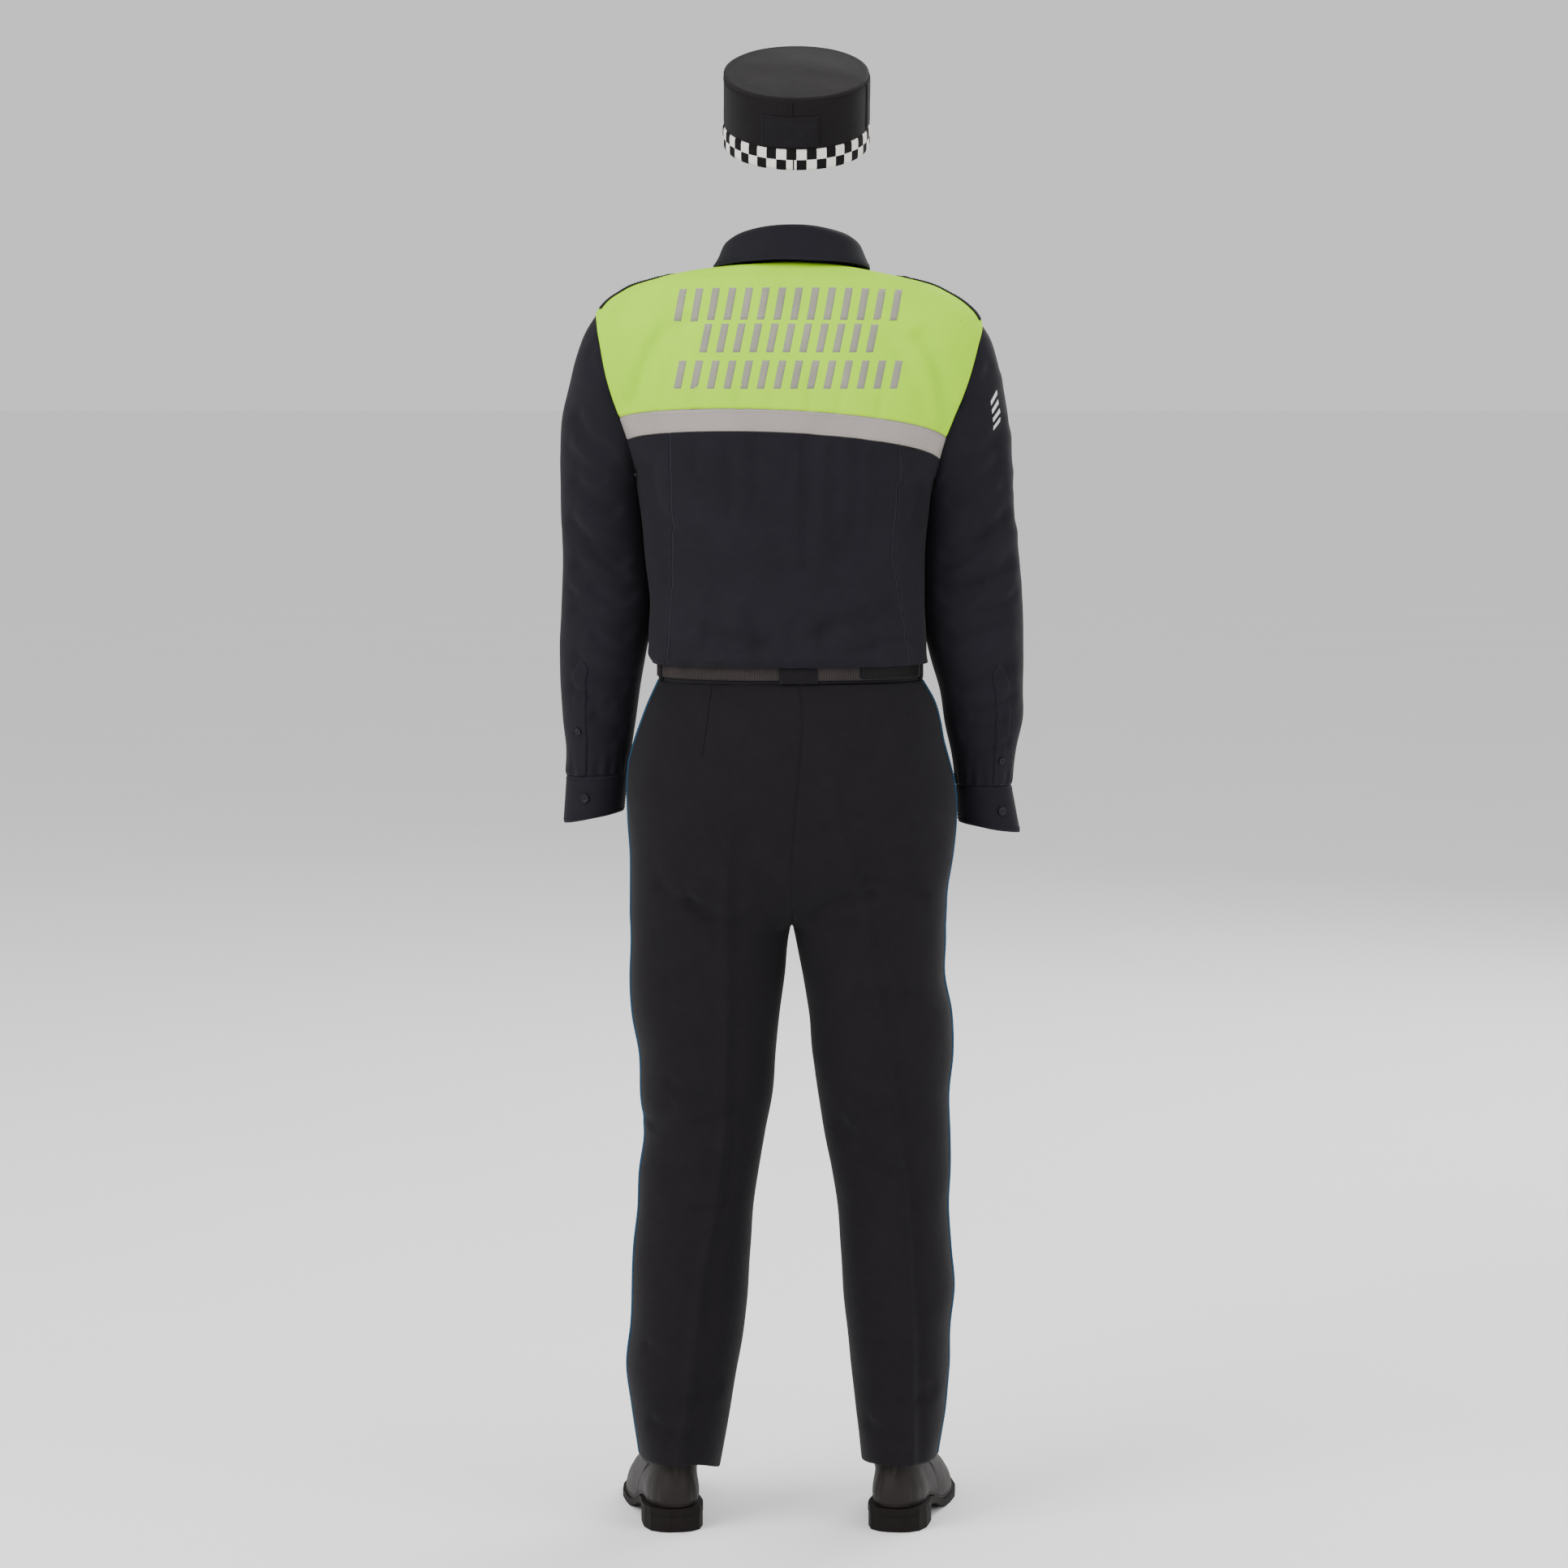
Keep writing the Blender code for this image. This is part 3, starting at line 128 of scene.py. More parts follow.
HEM_ROW = Row(1075, 1075, 1075)
BAND_LOW = Row(1349, 1359, 1325)
BAND_HIGH = Row(1377, 1387, 1353)
LOWER_ROWS = [
    HEM_ROW,
    Row(1083, 1083, 1083),
    Row(1100, 1100, 1100),
    Row(1130, 1130, 1130),
    Row(1170, 1170, 1168),
    Row(1210, 1211, 1205),
    Row(1250, 1252, 1242),
    Row(1285, 1290, 1274),
    Row(1312, 1318, 1300),
    Row(1328, 1337, 1310),
    BAND_LOW,
]
YOKE_ROWS = [
    BAND_HIGH,
    Row(1402, 1410, 1380),
    Row(1430, 1434, 1410),
    Row(1457, 1459, 1438),
    Row(1480, 1480, 1463),
    Row(1495, 1496, 1480),
    Row(1503, 1505, 1490),
    Row(1513, 1514, 1503),
    Row(1523, 1523, 1517),
    Row(1531, 1531, 1529),
    Row(1538, 1538, 1537),
    Row(1544, 1544, 1544),
    Row(1550, 1550, 1550),
]


# Princess seams, as shares of the half width at each height
class SeamPlace(NamedTuple):
    """Where the princess seams lie at one height, as shares of the half width."""

    height: float
    left: float
    right: float


PRINCESS = rows_of(SeamPlace, [
    (1075, 0.66, 0.64), (1110, 0.66, 0.64), (1170, 0.57, 0.57), (1210, 0.56, 0.53), (1250, 0.58, 0.57),
    (1290, 0.60, 0.63), (1349, 0.62, 0.62),
])


# Sleeves, one row for each ring; outer and inner edges are measured from the middle of the body
class SleeveRing(NamedTuple):
    """A ring of a sleeve or cuff, by its outer and inner edges."""

    along: float
    outer_x: float
    outer_z: float
    inner_x: float
    inner_z: float
    middle_y: float
    half_depth: float


SLEEVES = {
    -1: rows_of(SleeveRing, [
        (0, 230, 1503, 186, 1312, 0, 60), (25, 245, 1480, 187.2, 1305, 2, 61), (55, 257, 1450, 187, 1298, 6, 61),
        (90, 267, 1414, 185.5, 1290, 12, 60), (130, 276, 1374, 183, 1279, 19, 59),
        (175, 279, 1330, 180, 1264, 26, 57), (220, 279, 1286, 177, 1244, 31, 55),
        (265, 278.5, 1242, 174, 1218, 34, 54), (305, 277, 1201, 171.2, 1190, 36, 55),
        (345, 278, 1161, 168.6, 1156, 37, 57), (385, 280, 1121, 169.6, 1119, 38, 58),
        (425, 281, 1079, 175.2, 1079, 40, 57), (462, 280.5, 1042, 181.5, 1042, 42, 53),
        (500, 278, 1003, 187, 1002, 44, 47), (535, 274, 966, 193, 964, 46, 42), (566, 274, 932, 197.5, 934, 48, 38),
    ]),
    1: rows_of(SleeveRing, [
        (0, 236, 1490, 182, 1300, 0, 60), (25, 247, 1472, 182.2, 1294, 2, 61), (55, 256, 1445, 180, 1287, 6, 61),
        (90, 265, 1410, 177.8, 1279, 12, 60), (130, 272, 1371, 175.5, 1268, 19, 60),
        (175, 276, 1326, 172.5, 1253, 26, 59), (220, 278.5, 1281, 169.9, 1234, 31, 58),
        (265, 282, 1238, 167.6, 1211, 34, 58), (305, 286.5, 1197, 167.2, 1184, 36, 59),
        (345, 290, 1157, 167.8, 1150, 37, 60), (385, 292, 1117, 171, 1113, 38, 60),
        (425, 292, 1075, 178.5, 1073, 40, 58), (462, 291.5, 1038, 189, 1036, 42, 54),
        (500, 292, 1000, 195, 996, 44, 49), (535, 284, 964, 203, 960, 46, 43), (575, 278, 920, 209, 920, 48, 38),
    ]),
}
CUFFS = {
    -1: rows_of(SleeveRing, [
        (0, 274, 932, 197.5, 934, 48, 38), (60, 278, 872, 202, 887, 50, 37),
    ]),
    1: rows_of(SleeveRing, [
        (0, 278, 920, 209, 920, 48, 38), (58, 290, 860, 212, 873, 51, 37),
    ]),
}
SLEEVE_BLEND = 110


class SleeveButtons(NamedTuple):
    """Where a sleeve's two buttons lie."""

    cuff_turn: float
    cuff_along: float
    placket_turn: float
    placket_along: float


SLEEVE_BUTTONS = {-1: SleeveButtons(72, 30, 58, 512), 1: SleeveButtons(62, 32, 60, 545)}
BUTTON_RADIUS = 5.5
SMALL_BUTTON_RADIUS = 4.5
EPAULETTE_BUTTON_RADIUS = 6.0
SHIRT_BUTTON_HEIGHTS = (1492, 1420, 1340, 1260, 1180)


# Epaulettes, each from the sleeve seam towards the collar
class Epaulette(NamedTuple):
    """An epaulette's run along the shoulder."""

    low: float
    high: float
    half_width: float


EPAULETTES = {-1: Epaulette(1505, 1546.5, 22), 1: Epaulette(1492, 1544, 22)}
EPAULETTE_LIFT = 0.9


# Trousers, one row for each height; above the crotch the two inner edges are the centre seam
class Leg(NamedTuple):
    """The trousers at one height."""

    height: float
    left_outer: float
    left_inner: float
    right_inner: float
    right_outer: float
    back: float
    front: float
    squareness: float


TROUSERS = rows_of(Leg, [
    (88, -184, -84, 92, 187, 81, 77, 2.1), (150, -192.5, -70.7, 85, 197, 82, 76, 2.1),
    (200, -199, -61.6, 79, 201, 85, 74, 2.1), (249, -194, -53, 74, 201.5, 86, 75, 2.1),
    (298, -192, -48, 69, 207, 84, 78, 2.1), (347, -190, -45, 66.5, 202.5, 80, 83, 2.1),
    (396, -184.5, -42, 63, 199.5, 77, 88, 2.1), (445, -182.5, -35, 55, 201, 77, 92, 2.1),
    (493, -176.5, -27, 46, 201, 80, 94, 2.1), (542, -181, -18, 38, 199, 86, 96, 2.15),
    (591, -182, -14, 31, 204, 91, 98, 2.2), (640, -191, -9, 27, 203, 95, 100, 2.2),
    (688, -193.5, -3, 19, 193.5, 99, 102, 2.2), (737, -192, 2, 9.5, 194.5, 105, 104, 2.2),
    (750, -192, 4.4, 6.8, 194.5, 107, 105, 2.2), (761, -192.5, 4.8, 6.4, 195, 110, 106, 2.2),
    (790, -192.5, 5.3, 6.1, 196, 116, 108, 2.25), (834, -192.5, 6, 6, 203, 123, 111, 2.3),
    (882, -196, 10, 10, 207.5, 129, 115, 2.3), (930, -196.5, 14, 14, 205, 129, 117, 2.3),
    (954, -194, 16, 16, 198.5, 126, 116, 2.3), (978, -187.5, 18, 18, 192, 121, 113, 2.3),
    (1002, -179, 20, 20, 188, 114, 109, 2.3), (1026, -170, 19, 19, 181, 106, 105, 2.3),
    (1054, -157.5, 16, 16, 164.5, 98, 103, 2.3),
])


class Dart(NamedTuple):
    """A back dart, by where its top and its end lie towards +X."""

    top: float
    end: float


DARTS = {-1: Dart(-92.6, -103.0), 1: Dart(123.0, 138.0)}
CROTCH = 750
HEM_LIFT_FRONT = 10
HEM_DROP_INSIDE = {-1: 16, 1: 6}
HEM_REACH = 120
SEAM_FADE = 4
STRIPE_SHARE = 0.05
SEAT_TOP = 850
THIGH_TOP = 890
THIGH_LOW = 640

# Waist, all on one ring
WAIST = Section(1054, 161, 3.5, 98, 103, 2.3, 0, 0)
WAISTBAND_LOW = 1054
WAISTBAND_HIGH = 1090
BELT_LOW = 1059
BELT_HIGH = 1088
BELT_WALL = 2.5
LOOP_LOW = 1055.3
LOOP_HIGH = 1089.8


class BeltLoop(NamedTuple):
    """A belt loop's place and width, how far the waist's curve spreads it, and its mesh columns."""

    name: str
    turn: float
    width: float
    spread: float
    columns: int


BELT_LOOPS = rows_of(BeltLoop, [
    ("belt_loop_back", 3.5, 45, 1.03, 34), ("belt_loop_back_L", -72, 12.6, 1.2, 19),
    ("belt_loop_back_R", 76, 12.6, 1.2, 19),
    ("belt_loop_front_L", -140, 12.6, 1.4, 19), ("belt_loop_front_R", 140, 12.6, 1.4, 19),
])


# Neck and collar, one row for each ring from the neck seam up and over
class CollarRing(NamedTuple):
    """A ring of the collar's stand or leaf."""

    along: float
    half_width: float
    centre: float
    back: float
    front: float
    back_z: float
    side_z: float
    front_z: float


STAND = rows_of(CollarRing, [
    (0, 76, 6, 58, 62, 1566, 1551, 1523), (34, 73, 6, 59, 62, 1607, 1588, 1555),
])
LEAF = rows_of(CollarRing, [
    (0, 74.6, 6, 60.6, 63.6, 1609.5, 1590.5, 1557.5), (14, 83, 6, 69, 77, 1604, 1584, 1550),
    (30, 90, 6, 75, 89, 1586, 1569, 1532), (48, 97, 5, 82, 103, 1567, 1556.5, 1514),
])
LEAF_OPENING = 14.0
STAND_OPENING = 5.0
COLLAR_POINT_DROP = 24.0
COLLAR_POINT_REACH = 0.25
COLLAR_BEND = 1.3


# Folds and ridges: a line from one point to another, bowed sideways, with its width and its depth
class Fold(NamedTuple):
    """A soft fold's line, bow, width and depth."""

    x1: float
    z1: float
    x2: float
    z2: float
    bow: float
    width: float
    depth: float


SHIRT_BACK_FOLDS = rows_of(Fold, [
    (-192, 1386, -108, 1500, 16, 13, -6), (-150, 1392, -122, 1480, 6, 10, -3), (199, 1366, 152, 1478, -14, 13, -6),
    (172, 1380, 100, 1500, -10, 12, -3), (-74, 1350, -70, 1250, 2, 9, -3.5), (20, 1352, 22, 1190, 3, 9, -4),
    (46, 1352, 44, 1210, -3, 8, 3), (83, 1350, 78, 1230, 2, 9, -3.5), (-128, 1130, -20, 1102, -8, 12, -4),
    (30, 1112, 140, 1140, 8, 12, -4), (-60, 1160, -58, 1096, 0, 12, 4), (70, 1150, 74, 1096, 0, 12, 4),
])
SHIRT_FRONT_FOLDS = rows_of(Fold, [
    (-190, 1380, -120, 1490, 12, 14, -5), (190, 1370, 120, 1485, -12, 14, -5), (-80, 1350, -72, 1200, 3, 12, -3),
    (84, 1350, 76, 1190, -3, 12, -3), (-120, 1110, -30, 1095, -6, 12, -3.5), (34, 1094, 130, 1112, 6, 12, -3.5),
])
LEFT_SLEEVE_FOLDS = rows_of(Fold, [
    (-262, 1300, -205, 1262, -6, 11, -5), (-268, 1250, -196, 1200, -8, 11, -6), (-262, 1196, -186, 1158, -8, 11, -6),
    (-266, 1140, -190, 1112, -6, 12, -5), (-262, 1082, -196, 1046, -6, 11, -5), (-240, 1010, -200, 990, -4, 10, -4),
])
RIGHT_SLEEVE_FOLDS = rows_of(Fold, [
    (262, 1330, 196, 1270, 8, 12, -5), (272, 1258, 190, 1206, 8, 12, -6), (276, 1196, 186, 1160, 8, 12, -7),
    (272, 1128, 190, 1098, 6, 12, -6), (276, 1072, 204, 1040, 6, 12, -5), (270, 1004, 214, 984, 4, 10, -4),
])
TROUSER_BACK_FOLDS = rows_of(Fold, [
    (-70, 878, -74, 690, -3, 7, 3.5), (-74, 690, -78, 500, 0, 7, 4.5), (-78, 500, -104, 330, 2, 7, 5),
    (-104, 330, -133, 88, 0, 7, 5.5), (52, 935, 92, 790, -2, 7, 3), (92, 790, 120, 590, -1, 7, 4),
    (120, 590, 143, 400, 0, 7, 5), (143, 400, 152, 88, 3, 7, 5.5), (-124, 792, -46, 766, -10, 10, -6),
    (-92, 748, -38, 764, -8, 9, -4), (28, 770, 110, 800, 8, 10, -5), (80, 672, 148, 668, 6, 10, -4),
    (60, 516, 112, 478, -6, 11, -5), (-140, 540, -172, 506, 4, 11, -4),
])
TROUSER_FRONT_FOLDS = rows_of(Fold, [
    (-70, 950, -80, 600, -2, 7, 3.5), (-80, 600, -110, 300, 0, 7, 5), (-110, 300, -135, 88, 0, 7, 5.5),
    (80, 950, 100, 600, 2, 7, 3.5), (100, 600, 133, 300, 0, 7, 5), (133, 300, 150, 88, 0, 7, 5.5),
    (-60, 790, -8, 758, 6, 10, -5), (66, 790, 18, 758, -6, 10, -5),
])

# Cap, measured in its own frame and then tilted back
CAP_CENTRE = (11.0, 22.0, 1710.0)
CAP_TILT = 20.0
CAP_HALF_WIDTH = 88.5
CAP_HALF_LENGTH = 105.0
CAP_HEIGHT = 86.0
CAP_BAND_HEIGHT = 26.0
CAP_WALL = 2.5
CROWN_RISE = 5.0
PEAK_REACH = 46.0
PEAK_HALF_TURN = 62.0
PEAK_START = 2.9
PEAK_SEAT = 7.0
PEAK_SLOPE = 0.38
PEAK_SPREAD = 0.55
PEAK_EDGE = 0.04
CAP_SQUARENESS = 2.1


class CapPiece(NamedTuple):
    """The part of the cap's wall that a piece covers."""

    start: float
    end: float
    low: float
    high: float


CAP_LAYER = CapPiece(70, 260, 27.5, 85)
CAP_PATCH = CapPiece(-27.5, 17, 29, 66)


# Shoes, one row for each station from the heel; widths are to each side of the last's line
class Station(NamedTuple):
    """The shoe's outline at one place."""

    along: float
    inside: float
    outside: float


SHOE_OUTLINE = rows_of(Station, [
    (0, 0, 0), (4, 20, 20), (14, 31, 31), (35, 37, 37.5), (75, 36, 38), (120, 36, 42), (175, 42, 49), (215, 44, 50),
    (250, 38, 43), (276, 25, 29), (288, 12, 15), (292, 0, 0),
])
SHOES = {-1: (-137.5, -62.0, 6.0), 1: (131.5, -62.0, 9.0)}
HEEL_LENGTH = 74.0
HEEL_HEIGHT = 20.0
SOLE_WALL = 9.0
TOE_SPRING = 5.0
END_HALF_WIDTH = 9.0
WELT = 2.5


class Ankle(NamedTuple):
    """The shoe's top line."""

    along: float
    half_length: float
    half_width: float
    back_z: float
    side_z: float
    front_z: float
    lean: float


ANKLE = Ankle(60, 51, 33, 88, 80, 97, 1.8)
TOE_ROUNDNESS = 0.35


class Side(Enum):
    """The wearer's left or right."""

    LEFT = -1
    RIGHT = 1

    @property
    def letter(self) -> str:
        """The letter that ends the names of this side's pieces."""
        return "L" if self is Side.LEFT else "R"


def column(table: Sequence[tuple], name: str, key: Points) -> Points:
    """Reads one column of a table on a smooth curve through its rows.

    Args:
        table: The rows, in the order of their first value.
        name: The column to read.
        key: Where to read it, in the measure of the first column.

    Returns:
        The values there.
    """
    keys = np.array([row[0] for row in table], float)
    values = np.array([getattr(row, name) for row in table], float)
    slopes = np.gradient(values, keys)
    low = np.clip(np.searchsorted(keys, key, side="right") - 1, 0, len(keys) - 2)
    span = keys[low + 1] - keys[low]
    t = np.clip((key - keys[low]) / span, 0, 1)
    rise = 3 * t**2 - 2 * t**3
    leave = span * slopes[low] * (t**3 - 2 * t**2 + t)
    reach = span * slopes[low + 1] * (t**3 - t**2)
    return values[low] * (1 - rise) + values[low + 1] * rise + leave + reach


def smooth(t: Points) -> Points:
    """A step from 0 to 1 with soft ends."""
    t = np.clip(t, 0, 1)
    return t * t * (3 - 2 * t)


def bell(t: Points) -> Points:
    """A soft hump of height 1 round 0."""
    return np.exp(-(np.asarray(t) ** 2))


def rounded(angle: Points, squareness: Points) -> tuple[Points, Points]:
    """Across and along on a superellipse of half sizes 1.

    Args:
        angle: Radians from the along axis.
        squareness: The superellipse's power, 2 for an ellipse.

    Returns:
        The two coordinates.
    """
    across, along = np.sin(angle), np.cos(angle)
    reach = (np.abs(across) ** squareness + np.abs(along) ** squareness) ** (-1 / squareness)
    return across * reach, along * reach


def blended_row(rows: Sequence[Row], place: Points, share: Points) -> Points:
    """The height of a panel's row.

    Args:
        rows: The panel's rows.
        place: Which row, where 1.5 lies halfway between the second and the third.
        share: The share of the half width.

    Returns:
        Heights above the floor.
    """
    low = np.clip(np.floor(place).astype(int), 0, len(rows) - 2)
    part = place - low
    table = np.array(rows, float)
    left, middle, right = (table[low, k] * (1 - part) + table[low + 1, k] * part for k in range(3))
    return middle + (right - left) / 2 * share + ((left + right) / 2 - middle) * share**2


def armhole_depth(share: Points, height: Points) -> Points:
    """How far behind the side the armhole's edge lies."""
    depths = []
    for side in (-1, 1):
        hole = ARMHOLES[side]
        middle, half = (hole.top + hole.bottom) / 2, (hole.top - hole.bottom) / 2
        depths.append(hole.half_depth * np.sqrt(np.clip(1 - ((height - middle) / half) ** 2, 0, 1)))
    return np.where(share < 0, depths[0], depths[1])


def shirt_body(face: int) -> Surface:
    """The shirt's back (-1) or front (1), by share of the half width and height."""

    def surface(share: Points, height: Points) -> Points:
        """Points of the cloth."""
        depth = column(SHIRT, "back" if face < 0 else "front", height)
        square = column(SHIRT, "squareness", height)
        cut = np.clip(armhole_depth(share, height) / depth, 0, 1)
        limit = np.arctan2((1 - cut**square) ** (1 / square), cut)
        across, along = rounded(share * limit, square)
        x = column(SHIRT, "centre", height) + column(SHIRT, "half_width", height) * across
        y = face * depth * along
        z = height - column(SHIRT, "back_tilt" if face < 0 else "front_tilt", height) * y
        return np.stack([x, y, z], -1)

    return surface


def armhole_loop(side: int, turn: Points) -> Points:
    """The armhole's edge, by turn in degrees from the shoulder over the back."""
    hole = ARMHOLES[side]
    height = (hole.top + hole.bottom) / 2 + (hole.top - hole.bottom) / 2 * np.cos(np.radians(turn))
    share = np.full_like(height, float(side))
    back, front = shirt_body(-1)(share, height), shirt_body(1)(share, height)
    behind = (np.sin(np.radians(turn)) > 0)[..., None]
    return np.where(behind, back, front) + np.array([side * LAID_ON, 0, 0])


def ring_of(table: Sequence[SleeveRing], side: int, turn: Points, along: Points) -> Points:
    """Points of a tube whose rings are given by their outer and inner edges."""
    outer_x, outer_z = column(table, "outer_x", along), column(table, "outer_z", along)
    inner_x, inner_z = column(table, "inner_x", along), column(table, "inner_z", along)
    lift, swing = np.cos(np.radians(turn)), np.sin(np.radians(turn))
    x = side * ((outer_x + inner_x) / 2 + lift * (outer_x - inner_x) / 2)
    y = column(table, "middle_y", along) - swing * column(table, "half_depth", along)
    z = (outer_z + inner_z) / 2 + lift * (outer_z - inner_z) / 2
    return np.stack([x, y, z], -1)


def sleeve_tube(side: int) -> Surface:
    """A sleeve, by turn in degrees and millimetres along it."""

    def surface(turn: Points, along: Points) -> Points:
        """Points of the cloth."""
        turn = turn % 360
        points = ring_of(SLEEVES[side], side, turn, along)
        first = ring_of(SLEEVES[side], side, turn, np.zeros_like(along))
        take = (1 - smooth(along / SLEEVE_BLEND))[..., None]
        return points + take * (armhole_loop(side, turn) - first)

    return surface


def cuff_tube(side: int) -> Surface:
    """A cuff, by turn in degrees and millimetres along it."""
    return lambda turn, along: ring_of(CUFFS[side], side, turn, along)


def trouser_panel(side: int, face: int) -> Surface:
    """A quarter of the trousers, by share from the side seam to the inner edge, and height."""
    name = "left" if side < 0 else "right"

    def surface(share: Points, height: Points) -> Points:
        """Points of the cloth."""
        outer = column(TROUSERS, name + "_outer", height)
        shared = (column(TROUSERS, "left_inner", height) + column(TROUSERS, "right_inner", height)) / 2
        inner = np.where(height >= CROTCH, shared, column(TROUSERS, name + "_inner", height))
        depth = column(TROUSERS, "back" if face < 0 else "front", height)
        square = column(TROUSERS, "squareness", height)
        drop = np.clip((SEAT_TOP - height) / (SEAT_TOP - CROTCH), 0, 1)
        crotch_curve = 1 - np.sqrt(1 - drop**2)
        thigh_curve = smooth((THIGH_TOP - height) / (THIGH_TOP - THIGH_LOW))
        near_seam = np.clip(share, 0, 1) ** SEAM_FADE
        parted = thigh_curve + (crotch_curve - thigh_curve) * near_seam
        body_across, body_along = rounded(np.radians(90) * (1 - share), square)
        leg_across, leg_along = rounded(np.radians(90) * (1 - 2 * share), square)
        middle = (outer + inner) / 2
        body_x = inner + (outer - inner) * body_across
        leg_x = middle + (outer - middle) * leg_across
        x = body_x + (leg_x - body_x) * parted
        y = face * depth * (body_along + (leg_along - body_along) * parted)
        near_hem = 1 - smooth((height - TROUSERS[0].height) / HEM_REACH)
        lift = HEM_LIFT_FRONT * np.clip(y / depth, 0, 1) - HEM_DROP_INSIDE[side] * smooth(2.5 * share - 1.5)
        return np.stack([x, y, height + near_hem * lift], -1)

    return surface


def side_strip(back: Surface, front: Surface) -> Surface:
    """A strip over a side seam: shares below 0 lie on the back panel, shares above 0 on the front."""

    def surface(share: Points, height: Points) -> Points:
        """Points of the strip."""
        behind, before = back(np.abs(share), height), front(np.abs(share), height)
        return np.where((share < 0)[..., None], behind, before)

    return surface


def shoulder_strip(side: int) -> Surface:
    """A strip along the shoulder, by millimetres towards the front, and height of the seam."""

    def surface(forward: Points, height: Points) -> Points:
        """Points of the strip."""
        behind = forward < 0
        depth = np.where(behind, column(SHIRT, "back", height), column(SHIRT, "front", height))
        tilt = np.where(behind, column(SHIRT, "back_tilt", height), column(SHIRT, "front_tilt", height))
        square = column(SHIRT, "squareness", height)
        reach = (1 - np.clip(np.abs(forward) / depth, 0, 1) ** square) ** (1 / square)
        x = column(SHIRT, "centre", height) + side * column(SHIRT, "half_width", height) * reach
        return np.stack([x, forward + 0 * x, height - tilt * forward], -1)

    return surface


def waist_ring(turn: Points, height: Points) -> Points:
    """The waistband's outer face, by turn in degrees from the middle of the back, and height."""
    across, along = rounded(np.radians(turn), WAIST.squareness)
    depth = np.where(along > 0, WAIST.back, WAIST.front)
    return np.stack([WAIST.centre + WAIST.half_width * across, -depth * along, height + 0 * across], -1)


def collar_ring(table: Sequence[CollarRing], droop: float = 0.0) -> Surface:
    """A collar piece, by turn in degrees from the middle of the back, and millimetres along it."""

    def surface(turn: Points, along: Points) -> Points:
        """Points of the cloth."""
        angle = np.radians(turn)
        depth = np.where(np.cos(angle) > 0, column(table, "back", along), column(table, "front", along))
        x = column(table, "centre", along) + column(table, "half_width", along) * np.sin(angle)
        y = -depth * np.cos(angle)
        side_z = column(table, "side_z", along)
        end_z = np.where(np.cos(angle) > 0, column(table, "back_z", along), column(table, "front_z", along))
        z = side_z + (end_z - side_z) * np.abs(np.cos(angle)) ** COLLAR_BEND
        sag = droop * smooth((np.abs(turn) - 100) / 70) * np.clip(along / table[-1].along, 0, 1)
        return np.stack([x, y + COLLAR_POINT_REACH * sag, z - sag], -1)

    return surface


def cap_place(x: Points, y: Points, z: Points) -> Points:
    """Points of the cap's own frame, tilted back and put in place."""
    tilt = math.radians(CAP_TILT)
    across, ahead, up = CAP_CENTRE
    return np.stack([x + across, y * math.cos(tilt) - z * math.sin(tilt) + ahead,
                     y * math.sin(tilt) + z * math.cos(tilt) + up], -1)


def cap_wall(turn: Points, height: Points) -> Points:
    """The cap's side wall, by turn in degrees from the middle of the back, and height in its own frame."""
    across, along = rounded(np.radians(turn), CAP_SQUARENESS)
    return cap_place(CAP_HALF_WIDTH * across, -CAP_HALF_LENGTH * along, height + 0 * across)


def cap_crown(turn: Points, share: Points) -> Points:
    """The crown, by turn and share of the way from its edge to its middle."""
    across, along = rounded(np.radians(turn), CAP_SQUARENESS)
    left = 1 - share
    rise = CAP_HEIGHT + LAID_ON + CAP_WALL + CROWN_RISE * (1 - left**2)
    return cap_place(CAP_HALF_WIDTH * across * left, -CAP_HALF_LENGTH * along * left, rise)


def cap_peak(turn: Points, share: Points) -> Points:
    """The peak, by turn and share of its reach from the band."""
    across, along = rounded(np.radians(turn), CAP_SQUARENESS)
    spread = np.clip(np.cos(np.radians((turn - 180) / PEAK_HALF_TURN * 90)), PEAK_EDGE, 1)
    reach = share * PEAK_REACH * spread
    x = (CAP_HALF_WIDTH + PEAK_START + reach * PEAK_SPREAD) * across
    y = -(CAP_HALF_LENGTH + PEAK_START + reach) * along
    return cap_place(x, y, PEAK_SEAT - PEAK_SLOPE * reach)


def sole_low(along: Points) -> Points:
    """Height of the sole's underside above the floor."""
    heel = (HEEL_HEIGHT + LAID_ON) * (1 - smooth((along - HEEL_LENGTH - 2) / 80))
    return heel + TOE_SPRING * smooth((along - 230) / 62)


def shoe_place(side: int, across: Points, along: Points, height: Points) -> Points:
    """Points of a shoe's own frame, turned out and put in place."""
    heel_x, heel_y, splay = SHOES[side]
    turn = -math.radians(splay) * side
    x = heel_x + across * math.cos(turn) - along * math.sin(turn)
    y = heel_y + across * math.sin(turn) + along * math.cos(turn)
    return np.stack([x, y, height + 0 * x], -1)


def half_width(side: int, towards: int, along: Points) -> Points:
    """The outline's half width on the side towards +X (1) or -X (-1)."""
    return np.maximum(column(SHOE_OUTLINE, "outside" if towards == side else "inside", along), END_HALF_WIDTH)


